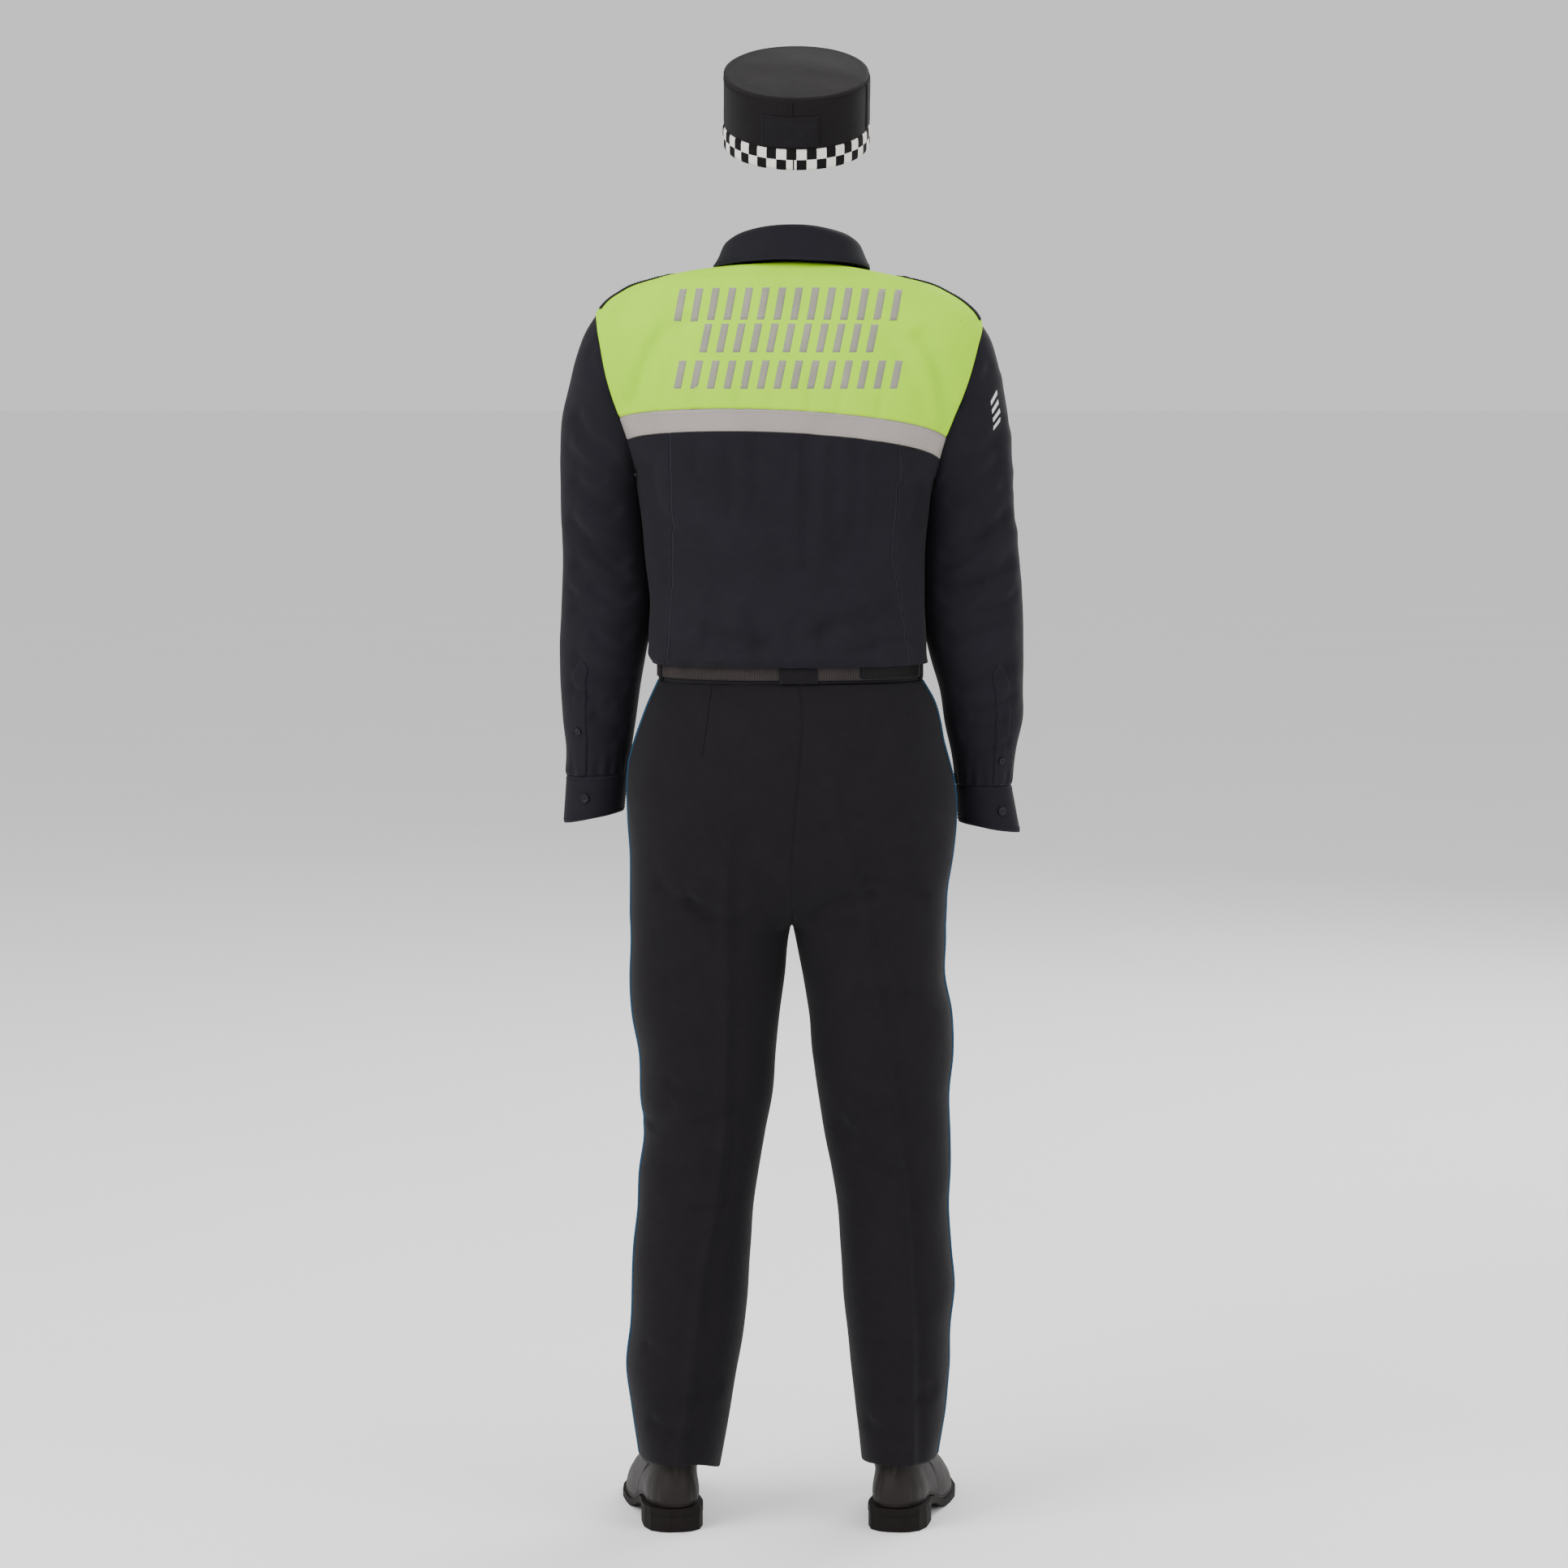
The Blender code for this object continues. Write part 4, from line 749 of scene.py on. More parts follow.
def shoe_upper(side: int) -> Surface:
    """The upper, by turn in degrees from the heel and share of the way up to the ankle."""

    def surface(turn: Points, up: Points) -> Points:
        """Points of the leather."""
        angle = np.radians(turn)
        length = SHOE_OUTLINE[-1].along
        along = length / 2 * (1 - np.cos(angle))
        widths = np.where(np.sin(angle) > 0, half_width(side, 1, along), half_width(side, -1, along))
        round_end = np.abs(np.sin(angle)) ** TOE_ROUNDNESS
        across = np.sign(np.sin(angle)) * np.maximum(widths * round_end - WELT, 0)
        low_along = np.clip(along, WELT, length - WELT)
        low = sole_low(low_along) + SOLE_WALL + 2 * LAID_ON
        end_z = np.where(np.cos(angle) > 0, ANKLE.back_z, ANKLE.front_z)
        high = ANKLE.side_z + (end_z - ANKLE.side_z) * np.cos(angle) ** 2
        in_by = np.clip(up, 0, None) ** ANKLE.lean
        ankle_along = ANKLE.along - ANKLE.half_length * np.cos(angle)
        x = across + (ANKLE.half_width * np.sin(angle) - across) * in_by
        y = low_along + (ankle_along - low_along) * in_by
        return shoe_place(side, x, y, low + (high - low) * up)

    return surface


def normal(surface: Surface, p: Points, q: Points, side: float, steps: Steps) -> Points:
    """The outward direction of a surface.

    Args:
        surface: The surface.
        p: First places.
        q: Second places.
        side: -1 where the two directions turn the other way.
        steps: How far to look along each.

    Returns:
        Unit vectors.
    """
    across = surface(p + steps[0], q) - surface(p - steps[0], q)
    up = surface(p, q + steps[1]) - surface(p, q - steps[1])
    out = np.cross(across, up) * side
    return out / np.maximum(np.linalg.norm(out, axis=-1, keepdims=True), 1e-9)


def fold_height(points: Points, folds: Sequence[Fold], lip: float = 0.0) -> Points:
    """How far the folds push the cloth out.

    Args:
        points: Points of the cloth.
        folds: Their lines, seen from behind; a depth below 0 is a trough.
        lip: How much of each trough's depth stands up beside it, as where cloth rolls over.

    Returns:
        Millimetres outward.
    """
    height = np.zeros(points.shape[:-1])
    for fold in folds:
        start = np.array([fold.x1, fold.z1], float)
        run = np.array([fold.x2, fold.z2], float) - start
        length = np.linalg.norm(run)
        away = points[..., (0, 2)] - start
        t = (away @ run) / length**2
        off = (away @ np.array([-run[1], run[0]])) / length - fold.bow * 4 * t * (1 - t)
        ends = smooth(t / 0.15 + 0.5) * smooth((1 - t) / 0.15 + 0.5)
        shape = bell(off / fold.width) - lip * bell(off / fold.width - 1.7)
        height += fold.depth * ends * shape
    return height


def crumple(points: Points, size: float, seed: float) -> Points:
    """Shallow uneven waves, the same ones each time.

    Args:
        points: Points of the cloth.
        size: The waves' length in millimetres.
        seed: Which set of waves.

    Returns:
        Heights of about -1 to 1.
    """
    x, y, z = (points[..., k] / size for k in range(3))
    total = np.zeros(x.shape)
    for k in range(5):
        turn = seed * 1.3 + k * 1.9
        lean = x * math.cos(turn) + y * math.sin(2.1 * turn) + z * math.sin(turn)
        bend = 1.4 * np.sin(0.61 * z * math.cos(turn + 1) + 0.53 * x + seed + k)
        total += np.sin(2.3 * lean * (1 + 0.31 * k) + bend + 2.7 * k) / (1 + 0.35 * k)
    return total / 3.2


def folded(surface: Surface, folds: Sequence[Fold], side: float, steps: Steps = SHARE_STEPS,
           lip: float = 0.0, waves: tuple[float, float, float] = (40.0, 0.0, 1.0),
           fade: Callable[[Points, Points], Points] | None = None,
           fuller: Callable[[Points, Points], Points] | None = None) -> Surface:
    """A surface with its folds and shallow waves pressed into it.

    Args:
        surface: The plain surface.
        folds: Its folds.
        side: The sign of its outward direction.
        steps: The steps for that direction.
        lip: How much the folds roll over.
        waves: The shallow waves' length and height, and which set they are.
        fade: How much of the folds is left at each place, from 0 to 1.
        fuller: Millimetres that the cloth stands out at each place.

    Returns:
        The worn surface.
    """

    def pressed(p: Points, q: Points) -> Points:
        """Points of the worn surface."""
        points = surface(p, q)
        height = fold_height(points, folds, lip) + waves[1] * crumple(points, waves[0], waves[2])
        if fade:
            height = height * fade(p, q)
        if fuller:
            height = height + fuller(p, q)
        return points + height[..., None] * normal(surface, p, q, side, steps)

    return pressed


def metres(points: Points) -> Points:
    """Millimetres above the floor, as metres from the middle of the shoulders."""
    return (np.asarray(points, float) - np.array([0, 0, ORIGIN_HEIGHT])) * MM


class Weave(Enum):
    """What a surface's fine pattern is."""

    PLAIN = "plain weave"
    TWILL = "twill"
    KNIT = "knitted mesh"
    RIBS = "ribbed webbing"
    CHECKS = "two rows of checks"
    LOOPS = "looped pile"
    BEADS = "reflective beads"
    LEATHER = "leather"
    MOULDED = "moulded"
    BRUSHED = "brushed metal"


def srgb(colour: Colour) -> tuple[float, float, float, float]:
    """A shader's colour for red, green and blue of 0 to 255."""
    shares = [value / 255 for value in colour]
    red, green, blue = (s / 12.92 if s <= 0.04045 else ((s + 0.055) / 1.055) ** 2.4 for s in shares)
    return red, green, blue, 1.0


class NodeBench:
    """Puts a material's nodes together."""

    def __init__(self, name: str) -> None:
        """Starts a material with an empty bench round its shader."""
        self.material = bpy.data.materials.new(name)
        self.material.use_nodes = True
        self.tree = self.material.node_tree
        self.shader = self.tree.nodes["Principled BSDF"]

    def add(self, kind: str, **settings: object) -> bpy.types.Node:
        """Adds a node and sets its properties."""
        node = self.tree.nodes.new(kind)
        for name, value in settings.items():
            setattr(node, name, value)
        return node

    def link(self, start: Socket, end: Socket) -> None:
        """Joins two sockets."""
        self.tree.links.new(start, end)

    def math(self, operation: str, *values: object) -> Socket:
        """A Math node on sockets or numbers.

        Args:
            operation: The node's operation.
            values: Its inputs.

        Returns:
            The result's socket.
        """
        node = self.add("ShaderNodeMath", operation=operation)
        for socket, value in zip(node.inputs, values):
            if isinstance(value, (int, float)):
                socket.default_value = value
            else:
                self.link(value, socket)
        return node.outputs[0]

    def blend(self, first: Socket, share: float, second: Socket) -> Socket:
        """A share of one value with the rest of another."""
        return self.math("MULTIPLY_ADD", first, share, self.math("MULTIPLY", second, 1 - share))

    def wave(self, place: Socket, pitch: float) -> Socket:
        """A wave from 0 to 1 along a coordinate, with a pitch in metres."""
        turn = self.math("SINE", self.math("MULTIPLY", place, 2 * math.pi / pitch))
        return self.math("MULTIPLY_ADD", turn, 0.5, 0.5)

    def mix(self, share: object, first: object, second: object) -> Socket:
        """A colour between two, by a socket or a number."""
        node = self.add("ShaderNodeMix", data_type="RGBA")
        for socket, value in ((node.inputs[0], share), (node.inputs[6], first), (node.inputs[7], second)):
            if isinstance(value, Socket):
                self.link(value, socket)
            else:
                socket.default_value = value
        return node.outputs[2]

    def noise(self, place: Socket, scale: float, detail: float = 3.0) -> Socket:
        """Noise of about 0 to 1 at a number of patches for each metre."""
        node = self.add("ShaderNodeTexNoise")
        self.link(place, node.inputs["Vector"])
        node.inputs["Scale"].default_value, node.inputs["Detail"].default_value = scale, detail
        return node.outputs[0]


@dataclass(frozen=True)
class Finish:
    """How a surface looks: its colours, weave, gloss, and a band along rolled edges that is partly worn and partly
    painted highlight.
    """

    name: str
    slot: str
    colour: Colour
    shade: Colour
    roughness: float
    weave: Weave
    pitch: float = 0.0006
    relief: float = 0.00015
    mottle: float = 22.0
    sheen: float = 0.0
    metallic: float = 0.0
    gloss: float = 0.12
    # Colour of the band along rolled edges: partly worn cloth, partly painted highlight where the edges catch light;
    # darker on the reflective tape.
    worn: Colour | None = None
    on_surface: bool = True

    def material(self) -> bpy.types.Material:
        """The material, made once."""
        name = "finish_" + self.name
        found = bpy.data.materials.get(name)
        if found:
            return found
        bench = NodeBench(name)
        shader = bench.shader
        body = bench.add("ShaderNodeTexCoord").outputs["Object"]
        place = bench.add("ShaderNodeUVMap", uv_map="cloth").outputs[0] if self.on_surface else body
        axes = bench.add("ShaderNodeSeparateXYZ")
        bench.link(place, axes.inputs[0])
        u, v = axes.outputs[0], axes.outputs[1 if self.on_surface else 2]
        height = self.pattern(bench, place, body, u, v)
        tone = bench.blend(height, 0.35, bench.noise(body, self.mottle))
        colour = bench.mix(tone, srgb(self.shade), srgb(self.colour))
        if self.weave is Weave.CHECKS:
            colour = self.checks(bench, place, colour)
        # Band along rolled edges, broken by noise: partly worn cloth, partly painted highlight.
        if self.worn:
            edge = bench.add("ShaderNodeAttribute", attribute_name="worn").outputs["Fac"]
            broken = bench.math("MULTIPLY", edge, bench.noise(body, 300.0))
            colour = bench.mix(bench.math("MULTIPLY", broken, 0.6), colour, srgb(self.worn))
        bench.link(colour, shader.inputs["Base Color"])
        rough = bench.math("MULTIPLY_ADD", bench.noise(body, 90.0), 0.16, self.roughness - 0.08)
        bench.link(rough, shader.inputs["Roughness"])
        bump = bench.add("ShaderNodeBump")
        for node, name, value in ((shader, "Metallic", self.metallic), (shader, "Sheen Weight", self.sheen),
                                  (shader, "Sheen Roughness", 0.45), (shader, "Specular IOR Level", self.gloss),
                                  (bump, "Strength", 0.6), (bump, "Distance", self.relief)):
            node.inputs[name].default_value = value
        bench.link(height, bump.inputs["Height"])
        bench.link(bump.outputs[0], shader.inputs["Normal"])
        bench.material.diffuse_color = srgb(self.colour)
        return bench.material

    def pattern(self, bench: NodeBench, place: Socket, body: Socket,
                u: Socket, v: Socket) -> Socket:
        """The height of the weave or grain.

        Args:
            bench: The material's nodes.
            place: The coordinate that the pattern follows.
            body: Object coordinates.
            u: The first coordinate.
            v: The second coordinate.

        Returns:
            A height of 0 to 1.
        """
        if self.weave in (Weave.TWILL, Weave.CHECKS):
            slope = bench.math("ADD", u, bench.math("MULTIPLY", v, 1.6))
            return bench.blend(bench.noise(body, 1800.0), 0.35, bench.wave(slope, self.pitch * 1.7))
        if self.weave is Weave.RIBS:
            return bench.blend(bench.wave(u, self.pitch), 0.8, bench.wave(v, 0.0011))
        if self.weave in (Weave.LEATHER, Weave.BEADS):
            cells = bench.add("ShaderNodeTexVoronoi", feature="DISTANCE_TO_EDGE")
            bench.link(place, cells.inputs["Vector"])
            cells.inputs["Scale"].default_value = 1 / self.pitch
            edge = bench.math("MINIMUM", bench.math("MULTIPLY", cells.outputs["Distance"], 3.0), 1.0)
            return bench.blend(bench.noise(body, 150.0), 0.4, edge)
        if self.weave is Weave.LOOPS:
            return bench.noise(body, 1 / self.pitch, 6.0)
        if self.weave is Weave.BRUSHED:
            stretch = bench.add("ShaderNodeMapping")
            bench.link(body, stretch.inputs["Vector"])
            stretch.inputs["Scale"].default_value = (6.0, 6.0, 400.0)
            return bench.noise(stretch.outputs[0], 10.0)
        if self.weave is Weave.MOULDED:
            return bench.noise(body, 900.0, 2.0)
        warp, weft = bench.wave(u, self.pitch), bench.wave(v, self.pitch * (1.6 if self.weave is Weave.KNIT else 1.0))
        return bench.blend(bench.noise(body, 1400.0), 0.4, bench.math("MULTIPLY", warp, weft))

    def checks(self, bench: NodeBench, place: Socket,
               light: Socket) -> Socket:
        """Black squares between the light ones."""
        board = bench.add("ShaderNodeTexChecker")
        bench.link(place, board.inputs["Vector"])
        for name, value in (("Scale", 1.0), ("Color1", (0, 0, 0, 1)), ("Color2", (1, 1, 1, 1))):
            board.inputs[name].default_value = value
        return bench.mix(board.outputs["Fac"], srgb((14, 12, 14)), light)


# The worn colours below fill a band along rolled edges: partly worn cloth, partly painted highlight where the edges
# catch light; lighter on cloth, hi-vis and leather, darker on the reflective tape.
NAVY = Finish("navy_shirting", "navy_shirting", (27, 26, 33), (17, 16, 21), 0.85, Weave.PLAIN, 0.0006, 0.00012,
              sheen=0.03, worn=(36, 34, 43))
HI_VIS = Finish("hi_vis_cloth", "hi_vis_yellow", (172, 228, 0), (146, 204, 0), 0.9, Weave.KNIT, 0.0009, 0.0002,
                sheen=0.0, worn=(206, 250, 20))
TAPE = Finish("reflective_tape", "reflective_grey", (158, 150, 145), (136, 129, 125), 0.42, Weave.BEADS, 0.0008,
              0.00008, metallic=0.25, worn=(120, 115, 112))
WOOL = Finish("trouser_twill", "trouser_black", (24, 21, 25), (14, 12, 15), 0.88, Weave.TWILL, 0.0007, 0.00015,
              sheen=0.03, worn=(28, 25, 30))
BLUE = Finish("stripe_cloth", "stripe_blue", (34, 72, 100), (26, 60, 86), 0.85, Weave.TWILL, 0.0008, 0.00015,
              sheen=0.0)
CAP_CLOTH = Finish("cap_cloth", "cap_cloth", (25, 22, 24), (14, 12, 13), 0.9, Weave.TWILL, 0.0008, 0.0002,
                   sheen=0.04, worn=(34, 30, 33))
CHECKS = Finish("cap_checks", "cap_check", (228, 223, 218), (206, 200, 194), 0.8, Weave.CHECKS, 0.06, 0.00015)
PILE = Finish("loop_pile", "loop_patch", (30, 27, 31), (9, 8, 10), 0.95, Weave.LOOPS, 0.0012, 0.0006, sheen=0.06)
WEBBING = Finish("belt_webbing", "belt_webbing", (60, 54, 53), (3, 3, 4), 0.72, Weave.RIBS, 0.003, 0.0005)
BELT_END = Finish("belt_end", "belt_webbing", (14, 13, 15), (8, 7, 9), 0.6, Weave.TWILL, 0.0007, 0.0001)
SILVER = Finish("satin_thread", "reflective_grey", (156, 154, 138), (104, 104, 92), 0.4, Weave.RIBS, 0.0007,
                0.0003, sheen=0.3)
WHITE_THREAD = Finish("white_thread", "cap_check", (226, 226, 226), (190, 190, 192), 0.5, Weave.RIBS, 0.0006, 0.0002)
NAVY_THREAD = Finish("navy_thread", "navy_shirting", (30, 29, 37), (21, 20, 27), 0.6, Weave.MOULDED,
                     on_surface=False)
BLACK_THREAD = Finish("black_thread", "trouser_black", (36, 33, 37), (22, 20, 23), 0.6, Weave.MOULDED,
                      on_surface=False)
GREY_THREAD = Finish("grey_thread", "reflective_grey", (196, 190, 184), (160, 154, 148), 0.6, Weave.MOULDED,
                     on_surface=False)
PLASTIC = Finish("button_plastic", "button_plastic", (20, 20, 28), (10, 10, 14), 0.5, Weave.MOULDED, gloss=0.2,
                 on_surface=False)
STEEL = Finish("buckle_steel", "buckle_steel", (150, 150, 152), (110, 110, 112), 0.34, Weave.BRUSHED, metallic=1.0,
               relief=0.00004, on_surface=False)
LEATHER = Finish("shoe_leather", "shoe_leather", (34, 28, 26), (16, 13, 12), 0.58, Weave.LEATHER, 0.0016, 0.00012,
                 gloss=0.2, worn=(58, 49, 44), on_surface=False)
RUBBER = Finish("shoe_rubber", "shoe_rubber", (24, 20, 18), (13, 11, 10), 0.75, Weave.MOULDED, relief=0.0003,
                on_surface=False)


def unit_grid(columns: int, rows: int) -> tuple[Points, Points]:
    """Two coordinates of 0 to 1 on a grid."""
    return np.meshgrid(np.linspace(0, 1, columns + 1), np.linspace(0, 1, rows + 1), indexing="ij")


def arc_lengths(points: Points, axis: int) -> Points:
    """Millimetres along a grid of points, along one of its axes."""
    steps = np.linalg.norm(np.diff(points, axis=axis), axis=-1)
    start = np.zeros_like(np.take(steps, [0], axis=axis))
    return np.cumsum(np.concatenate([start, steps], axis=axis), axis=axis)


@dataclass
class Sheet:
    """A panel of cloth or leather on one of the uniform's surfaces.

    The places run over a unit square, and relief adds millimetres outward from the arc lengths across and up.
    """

    name: str
    surface: Surface
    places: Places
    grid: tuple[int, int]
    finish: Finish
    side: float = 1
    steps: Steps = SHARE_STEPS
    lift: float = 0.0
    wall: float = CLOTH_WALL
    tube: bool = False
    rolled: str = ""
    relief: Relief | None = None
    nodes: tuple[str, ...] = ()
    uv_scale: tuple[float, float] | None = None
    flat: tuple[float, float] = field(default=(0.0, 0.0), init=False)

    def shaped(self) -> tuple[Points, Points, Points]:
        """The panel's points, its arc lengths and its share of the edge band near its rolled edges, which is partly
        worn and partly painted highlight.

        Returns:
            Points in millimetres, texture places in millimetres, and wear of 0 to 1.
        """
        a, b = unit_grid(*self.grid)
        p, q = self.places(a, b)
        out = normal(self.surface, p, q, self.side, self.steps)
        points = self.surface(p, q) + self.lift * out
        across, up = arc_lengths(points, 0), arc_lengths(points, 1)
        width, height = across[-1:].repeat(across.shape[0], 0), up[:, -1:].repeat(up.shape[1], 1)
        self.flat = (float(across[-1].mean()) * MM, float(up[:, -1].mean()) * MM)
        edges = {"l": across, "r": width - across, "b": up, "t": height - up}
        # worn holds the share of the band along rolled edges: partly worn cloth, partly painted highlight.
        raised, worn = np.zeros_like(a), np.zeros_like(a)
        for edge in self.rolled:
            raised -= ROLL_DEPTH * bell(edges[edge] / ROLL_WIDTH)
            worn = np.maximum(worn, bell(edges[edge] / WORN_AND_HIGHLIGHT_WIDTH))
        if self.relief:
            raised = raised + self.relief(points, across, up)
        points = points + raised[..., None] * out
        if self.tube:
            points[-1] = points[0]
        places = np.stack([across, up], -1) * MM
        if self.uv_scale:
            places = np.stack([a * self.uv_scale[0], b * self.uv_scale[1]], -1)
        return points, places, worn

    def build(self) -> bpy.types.Object:
        """Makes the panel, dresses it and reports it.

        Returns:
            The panel's object.
        """
        points, places, worn = self.shaped()
        columns, rows = self.grid
        bm = bmesh.new()
        bmesh.ops.create_grid(bm, x_segments=columns, y_segments=rows, size=1)
        uv = bm.loops.layers.uv.new("cloth")
        # Per-vertex share of the band along rolled edges, partly worn cloth and partly painted highlight.
        wear_and_highlight_layer = bm.verts.layers.float.new("worn")
        spots = metres(points)
        index = {}
        for vert in bm.verts:
            at = round((vert.co.x + 1) / 2 * columns), round((vert.co.y + 1) / 2 * rows)
            index[vert] = at
            vert.co = spots[at]
            vert[wear_and_highlight_layer] = worn[at]
        for face in bm.faces:
            face.smooth = True
            for loop in face.loops:
                loop[uv].uv = places[index[loop.vert]]
        if self.tube:
            bmesh.ops.remove_doubles(bm, verts=bm.verts[:], dist=1e-6)
        if self.side < 0:
            bmesh.ops.reverse_faces(bm, faces=bm.faces[:])
        piece = placed(self.name, bm, self.finish)
        thicken(piece, self.wall)
        if self.nodes:
            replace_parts(piece, *self.nodes)
        return piece


def linked(name: str, data: bpy.types.ID) -> bpy.types.Object:
    """A new object in the scene, at its origin."""
    made = bpy.data.objects.new(name, data)
    bpy.context.scene.collection.objects.link(made)
    return made


def thicken(piece: bpy.types.Object, wall: float) -> None:
    """Gives a piece a wall of some millimetres, inward from its outer face."""
    solid = piece.modifiers.new("wall", "SOLIDIFY")
    solid.thickness = wall * MM
    solid.offset = -1


def placed(name: str, bm: bmesh.types.BMesh, finish: Finish) -> bpy.types.Object:
    """Links a bmesh as a piece that rides on the uniform.

    Args:
        name: The piece's name.
        bm: Its shape, which is used up.
        finish: Its look.

    Returns:
        The piece.
    """
    mesh = bpy.data.meshes.new(name)
    bm.to_mesh(mesh)
    bm.free()
    piece = linked(name, mesh)
    mesh.materials.append(finish.material())
    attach(piece, "root")
    LOG.info("%s: %d faces", name, len(mesh.polygons))
    return piece


@dataclass
class Stitching:
    """Rows of stitches, each a short thread laid on a surface."""

    name: str
    finish: Finish
    pitch: float = 3.6
    length: float = 2.3
    width: float = 0.5
    bm: bmesh.types.BMesh = field(default_factory=bmesh.new)

    def row(self, surface: Surface, p: Points, q: Points, side: float, steps: Steps,
            lift: float = 0.15) -> None:
        """Sews one row.

        Args:
            surface: The surface sewn on.
            p: First places along the row, or one for all of it.
            q: Second places along the row, or one for all of it.
            side: The sign of the outward direction.
            steps: The steps for that direction.
            lift: Millimetres above the surface.
        """
        p, q = np.broadcast_arrays(np.asarray(p, float), np.asarray(q, float))
        points, out = surface(p, q), normal(surface, p, q, side, steps)
        along = np.concatenate([[0], np.cumsum(np.linalg.norm(np.diff(points, axis=0), axis=1))])
        stops = np.arange(self.pitch / 2, along[-1], self.pitch)
        at, ahead, face = (np.stack([np.interp(where, along, values[:, k]) for k in range(3)], -1)
                           for where, values in ((stops, points), (stops + 0.5, points), (stops, out)))
        for spot, front, up in zip(at, ahead, face):
            run = Vector(front - spot)
            if run.length < 1e-6:
                continue
            run.normalize()
            up = Vector(up)
            across = up.cross(run).normalized()
            frame_of = Matrix((run, across, up)).transposed().to_4x4()
            spot = Vector(metres(spot + lift * np.array(up)))
            size = Matrix.Diagonal((self.length * MM, self.width * MM, self.width * MM, 1))
            bmesh.ops.create_cube(self.bm, size=1, matrix=Matrix.Translation(spot) @ frame_of @ size)

    def build(self) -> bpy.types.Object:
        """Makes all its rows one piece."""
        return placed(self.name, self.bm, self.finish)


FINE_BACK_FOLDS = rows_of(Fold, [
    (-184, 1398, -140, 1490, 10, 7, -2.4), (-160, 1470, -120, 1520, 6, 8, -2.0), (188, 1392, 158, 1484, -9, 7, -2.4),
    (140, 1500, 96, 1526, -5, 8, -2.0), (-112, 1386, -110, 1412, 1, 6, -1.4), (-58, 1388, -57, 1418, 1, 6, -1.6),
    (-18, 1388, -16, 1424, 0, 6, -1.2), (28, 1388, 30, 1430, 1, 6, -1.7), (64, 1386, 66, 1414, 0, 6, -1.3),
    (112, 1380, 114, 1408, 0, 6, -1.5), (-112, 1346, -110, 1312, 1, 6, -1.6), (-42, 1356, -38, 1280, 2, 7, -2.0),
    (4, 1356, 2, 1300, 1, 6, -1.6), (108, 1342, 104, 1270, 2, 7, -2.0), (-166, 1316, -140, 1240, -8, 9, -3.0),
    (160, 1304, 138, 1230, 8, 9, -3.0), (-150, 1200, -118, 1150, -5, 9, -2.4), (150, 1190, 120, 1146, 5, 9, -2.4),
    (-100, 1096, -98, 1130, 0, 7, -2.6), (-36, 1090, -34, 1128, 0, 6, -2.0), (4, 1086, 6, 1134, 0, 7, -2.4),
    (44, 1090, 42, 1126, 0, 6, -2.0), (108, 1094, 104, 1132, 0, 7, -2.6), (-146, 1104, -84, 1092, -4, 7, -2.4),
    (84, 1092, 150, 1108, 4, 7, -2.4),
])
FINE_LEFT_SLEEVE = rows_of(Fold, [
    (-244, 1452, -206, 1400, -6, 9, -3.0), (-258, 1380, -214, 1330, -8, 9, -3.2),
    (-270, 1342, -222, 1300, -6, 8, -2.6), (-250, 1226, -196, 1180, -5, 7, -3.2),
    (-244, 1170, -184, 1136, -5, 7, -3.0), (-272, 1168, -226, 1140, -4, 6, -2.2),
    (-238, 1108, -192, 1078, -4, 7, -2.6), (-268, 1046, -214, 1022, -4, 7, -2.8), (-262, 986, -214, 972, -3, 6, -2.2),
])
FINE_RIGHT_SLEEVE = rows_of(Fold, [
    (250, 1440, 206, 1390, 6, 9, -3.0), (266, 1372, 214, 1320, 8, 9, -3.2), (268, 1296, 214, 1254, 6, 8, -3.0),
    (250, 1232, 186, 1188, 5, 7, -3.4), (244, 1174, 184, 1138, 5, 7, -3.2), (282, 1160, 236, 1136, 4, 6, -2.4),
    (246, 1104, 196, 1076, 4, 7, -2.8), (280, 1036, 226, 1012, 4, 7, -2.8), (274, 978, 226, 960, 3, 6, -2.4),
])
FINE_LEG_FOLDS = rows_of(Fold, [
    (-130, 1034, -96, 960, 4, 10, -2.2), (134, 1034, 104, 958, -4, 10, -2.2), (-160, 812, -86, 782, -8, 9, -3.6),
    (92, 820, 170, 792, 8, 9, -3.4), (-64, 736, -20, 752, -5, 8, -2.8), (36, 742, 88, 764, 5, 8, -3.0),
    (-150, 690, -100, 706, -5, 10, -2.6), (-148, 566, -96, 548, -5, 9, -3.0), (-62, 536, -112, 514, 5, 8, -3.0),
    (64, 560, 128, 540, -6, 9, -3.4), (82, 470, 140, 452, -5, 9, -2.8), (-152, 462, -112, 444, -4, 9, -2.4),
    (-70, 420, -116, 402, 4, 8, -2.2), (-176, 236, -128, 214, -4, 9, -2.4), (-82, 188, -130, 166, 4, 9, -2.8),
    (-170, 142, -120, 124, -4, 8, -3.0), (96, 250, 150, 228, -4, 9, -2.2), (184, 186, 134, 166, 4, 9, -2.6),
    (98, 138, 148, 122, -4, 8, -2.8),
])


def span(low: float, high: float, bottom: float, top: float) -> Places:
    """Places that run evenly between two first places and two second ones."""
    return lambda a, b: (low + (high - low) * a, bottom + (top - bottom) * b)


def place_of_x(surface: Surface, x: Points, height: Points, low: float = -1.0, high: float = 1.0) -> Points:
    """The first place at which a surface has an x, for each height.

    Args:
        surface: A surface by share and height.
        x: Millimetres towards +X.
        height: The second place.
        low: The first place to try.
        high: The last place to try.

    Returns:
        First places.
    """
    tries = np.linspace(low, high, 161)
    found = [np.interp(at, *sorted_pair(surface(tries, np.full_like(tries, up))[:, 0], tries))
             for at, up in zip(np.ravel(x), np.ravel(height))]
    return np.array(found).reshape(np.shape(x))


def sorted_pair(keys: Points, values: Points) -> tuple[Points, Points]:
    """Two lists in the order of the first."""
    order = np.argsort(keys)
    return keys[order], values[order]


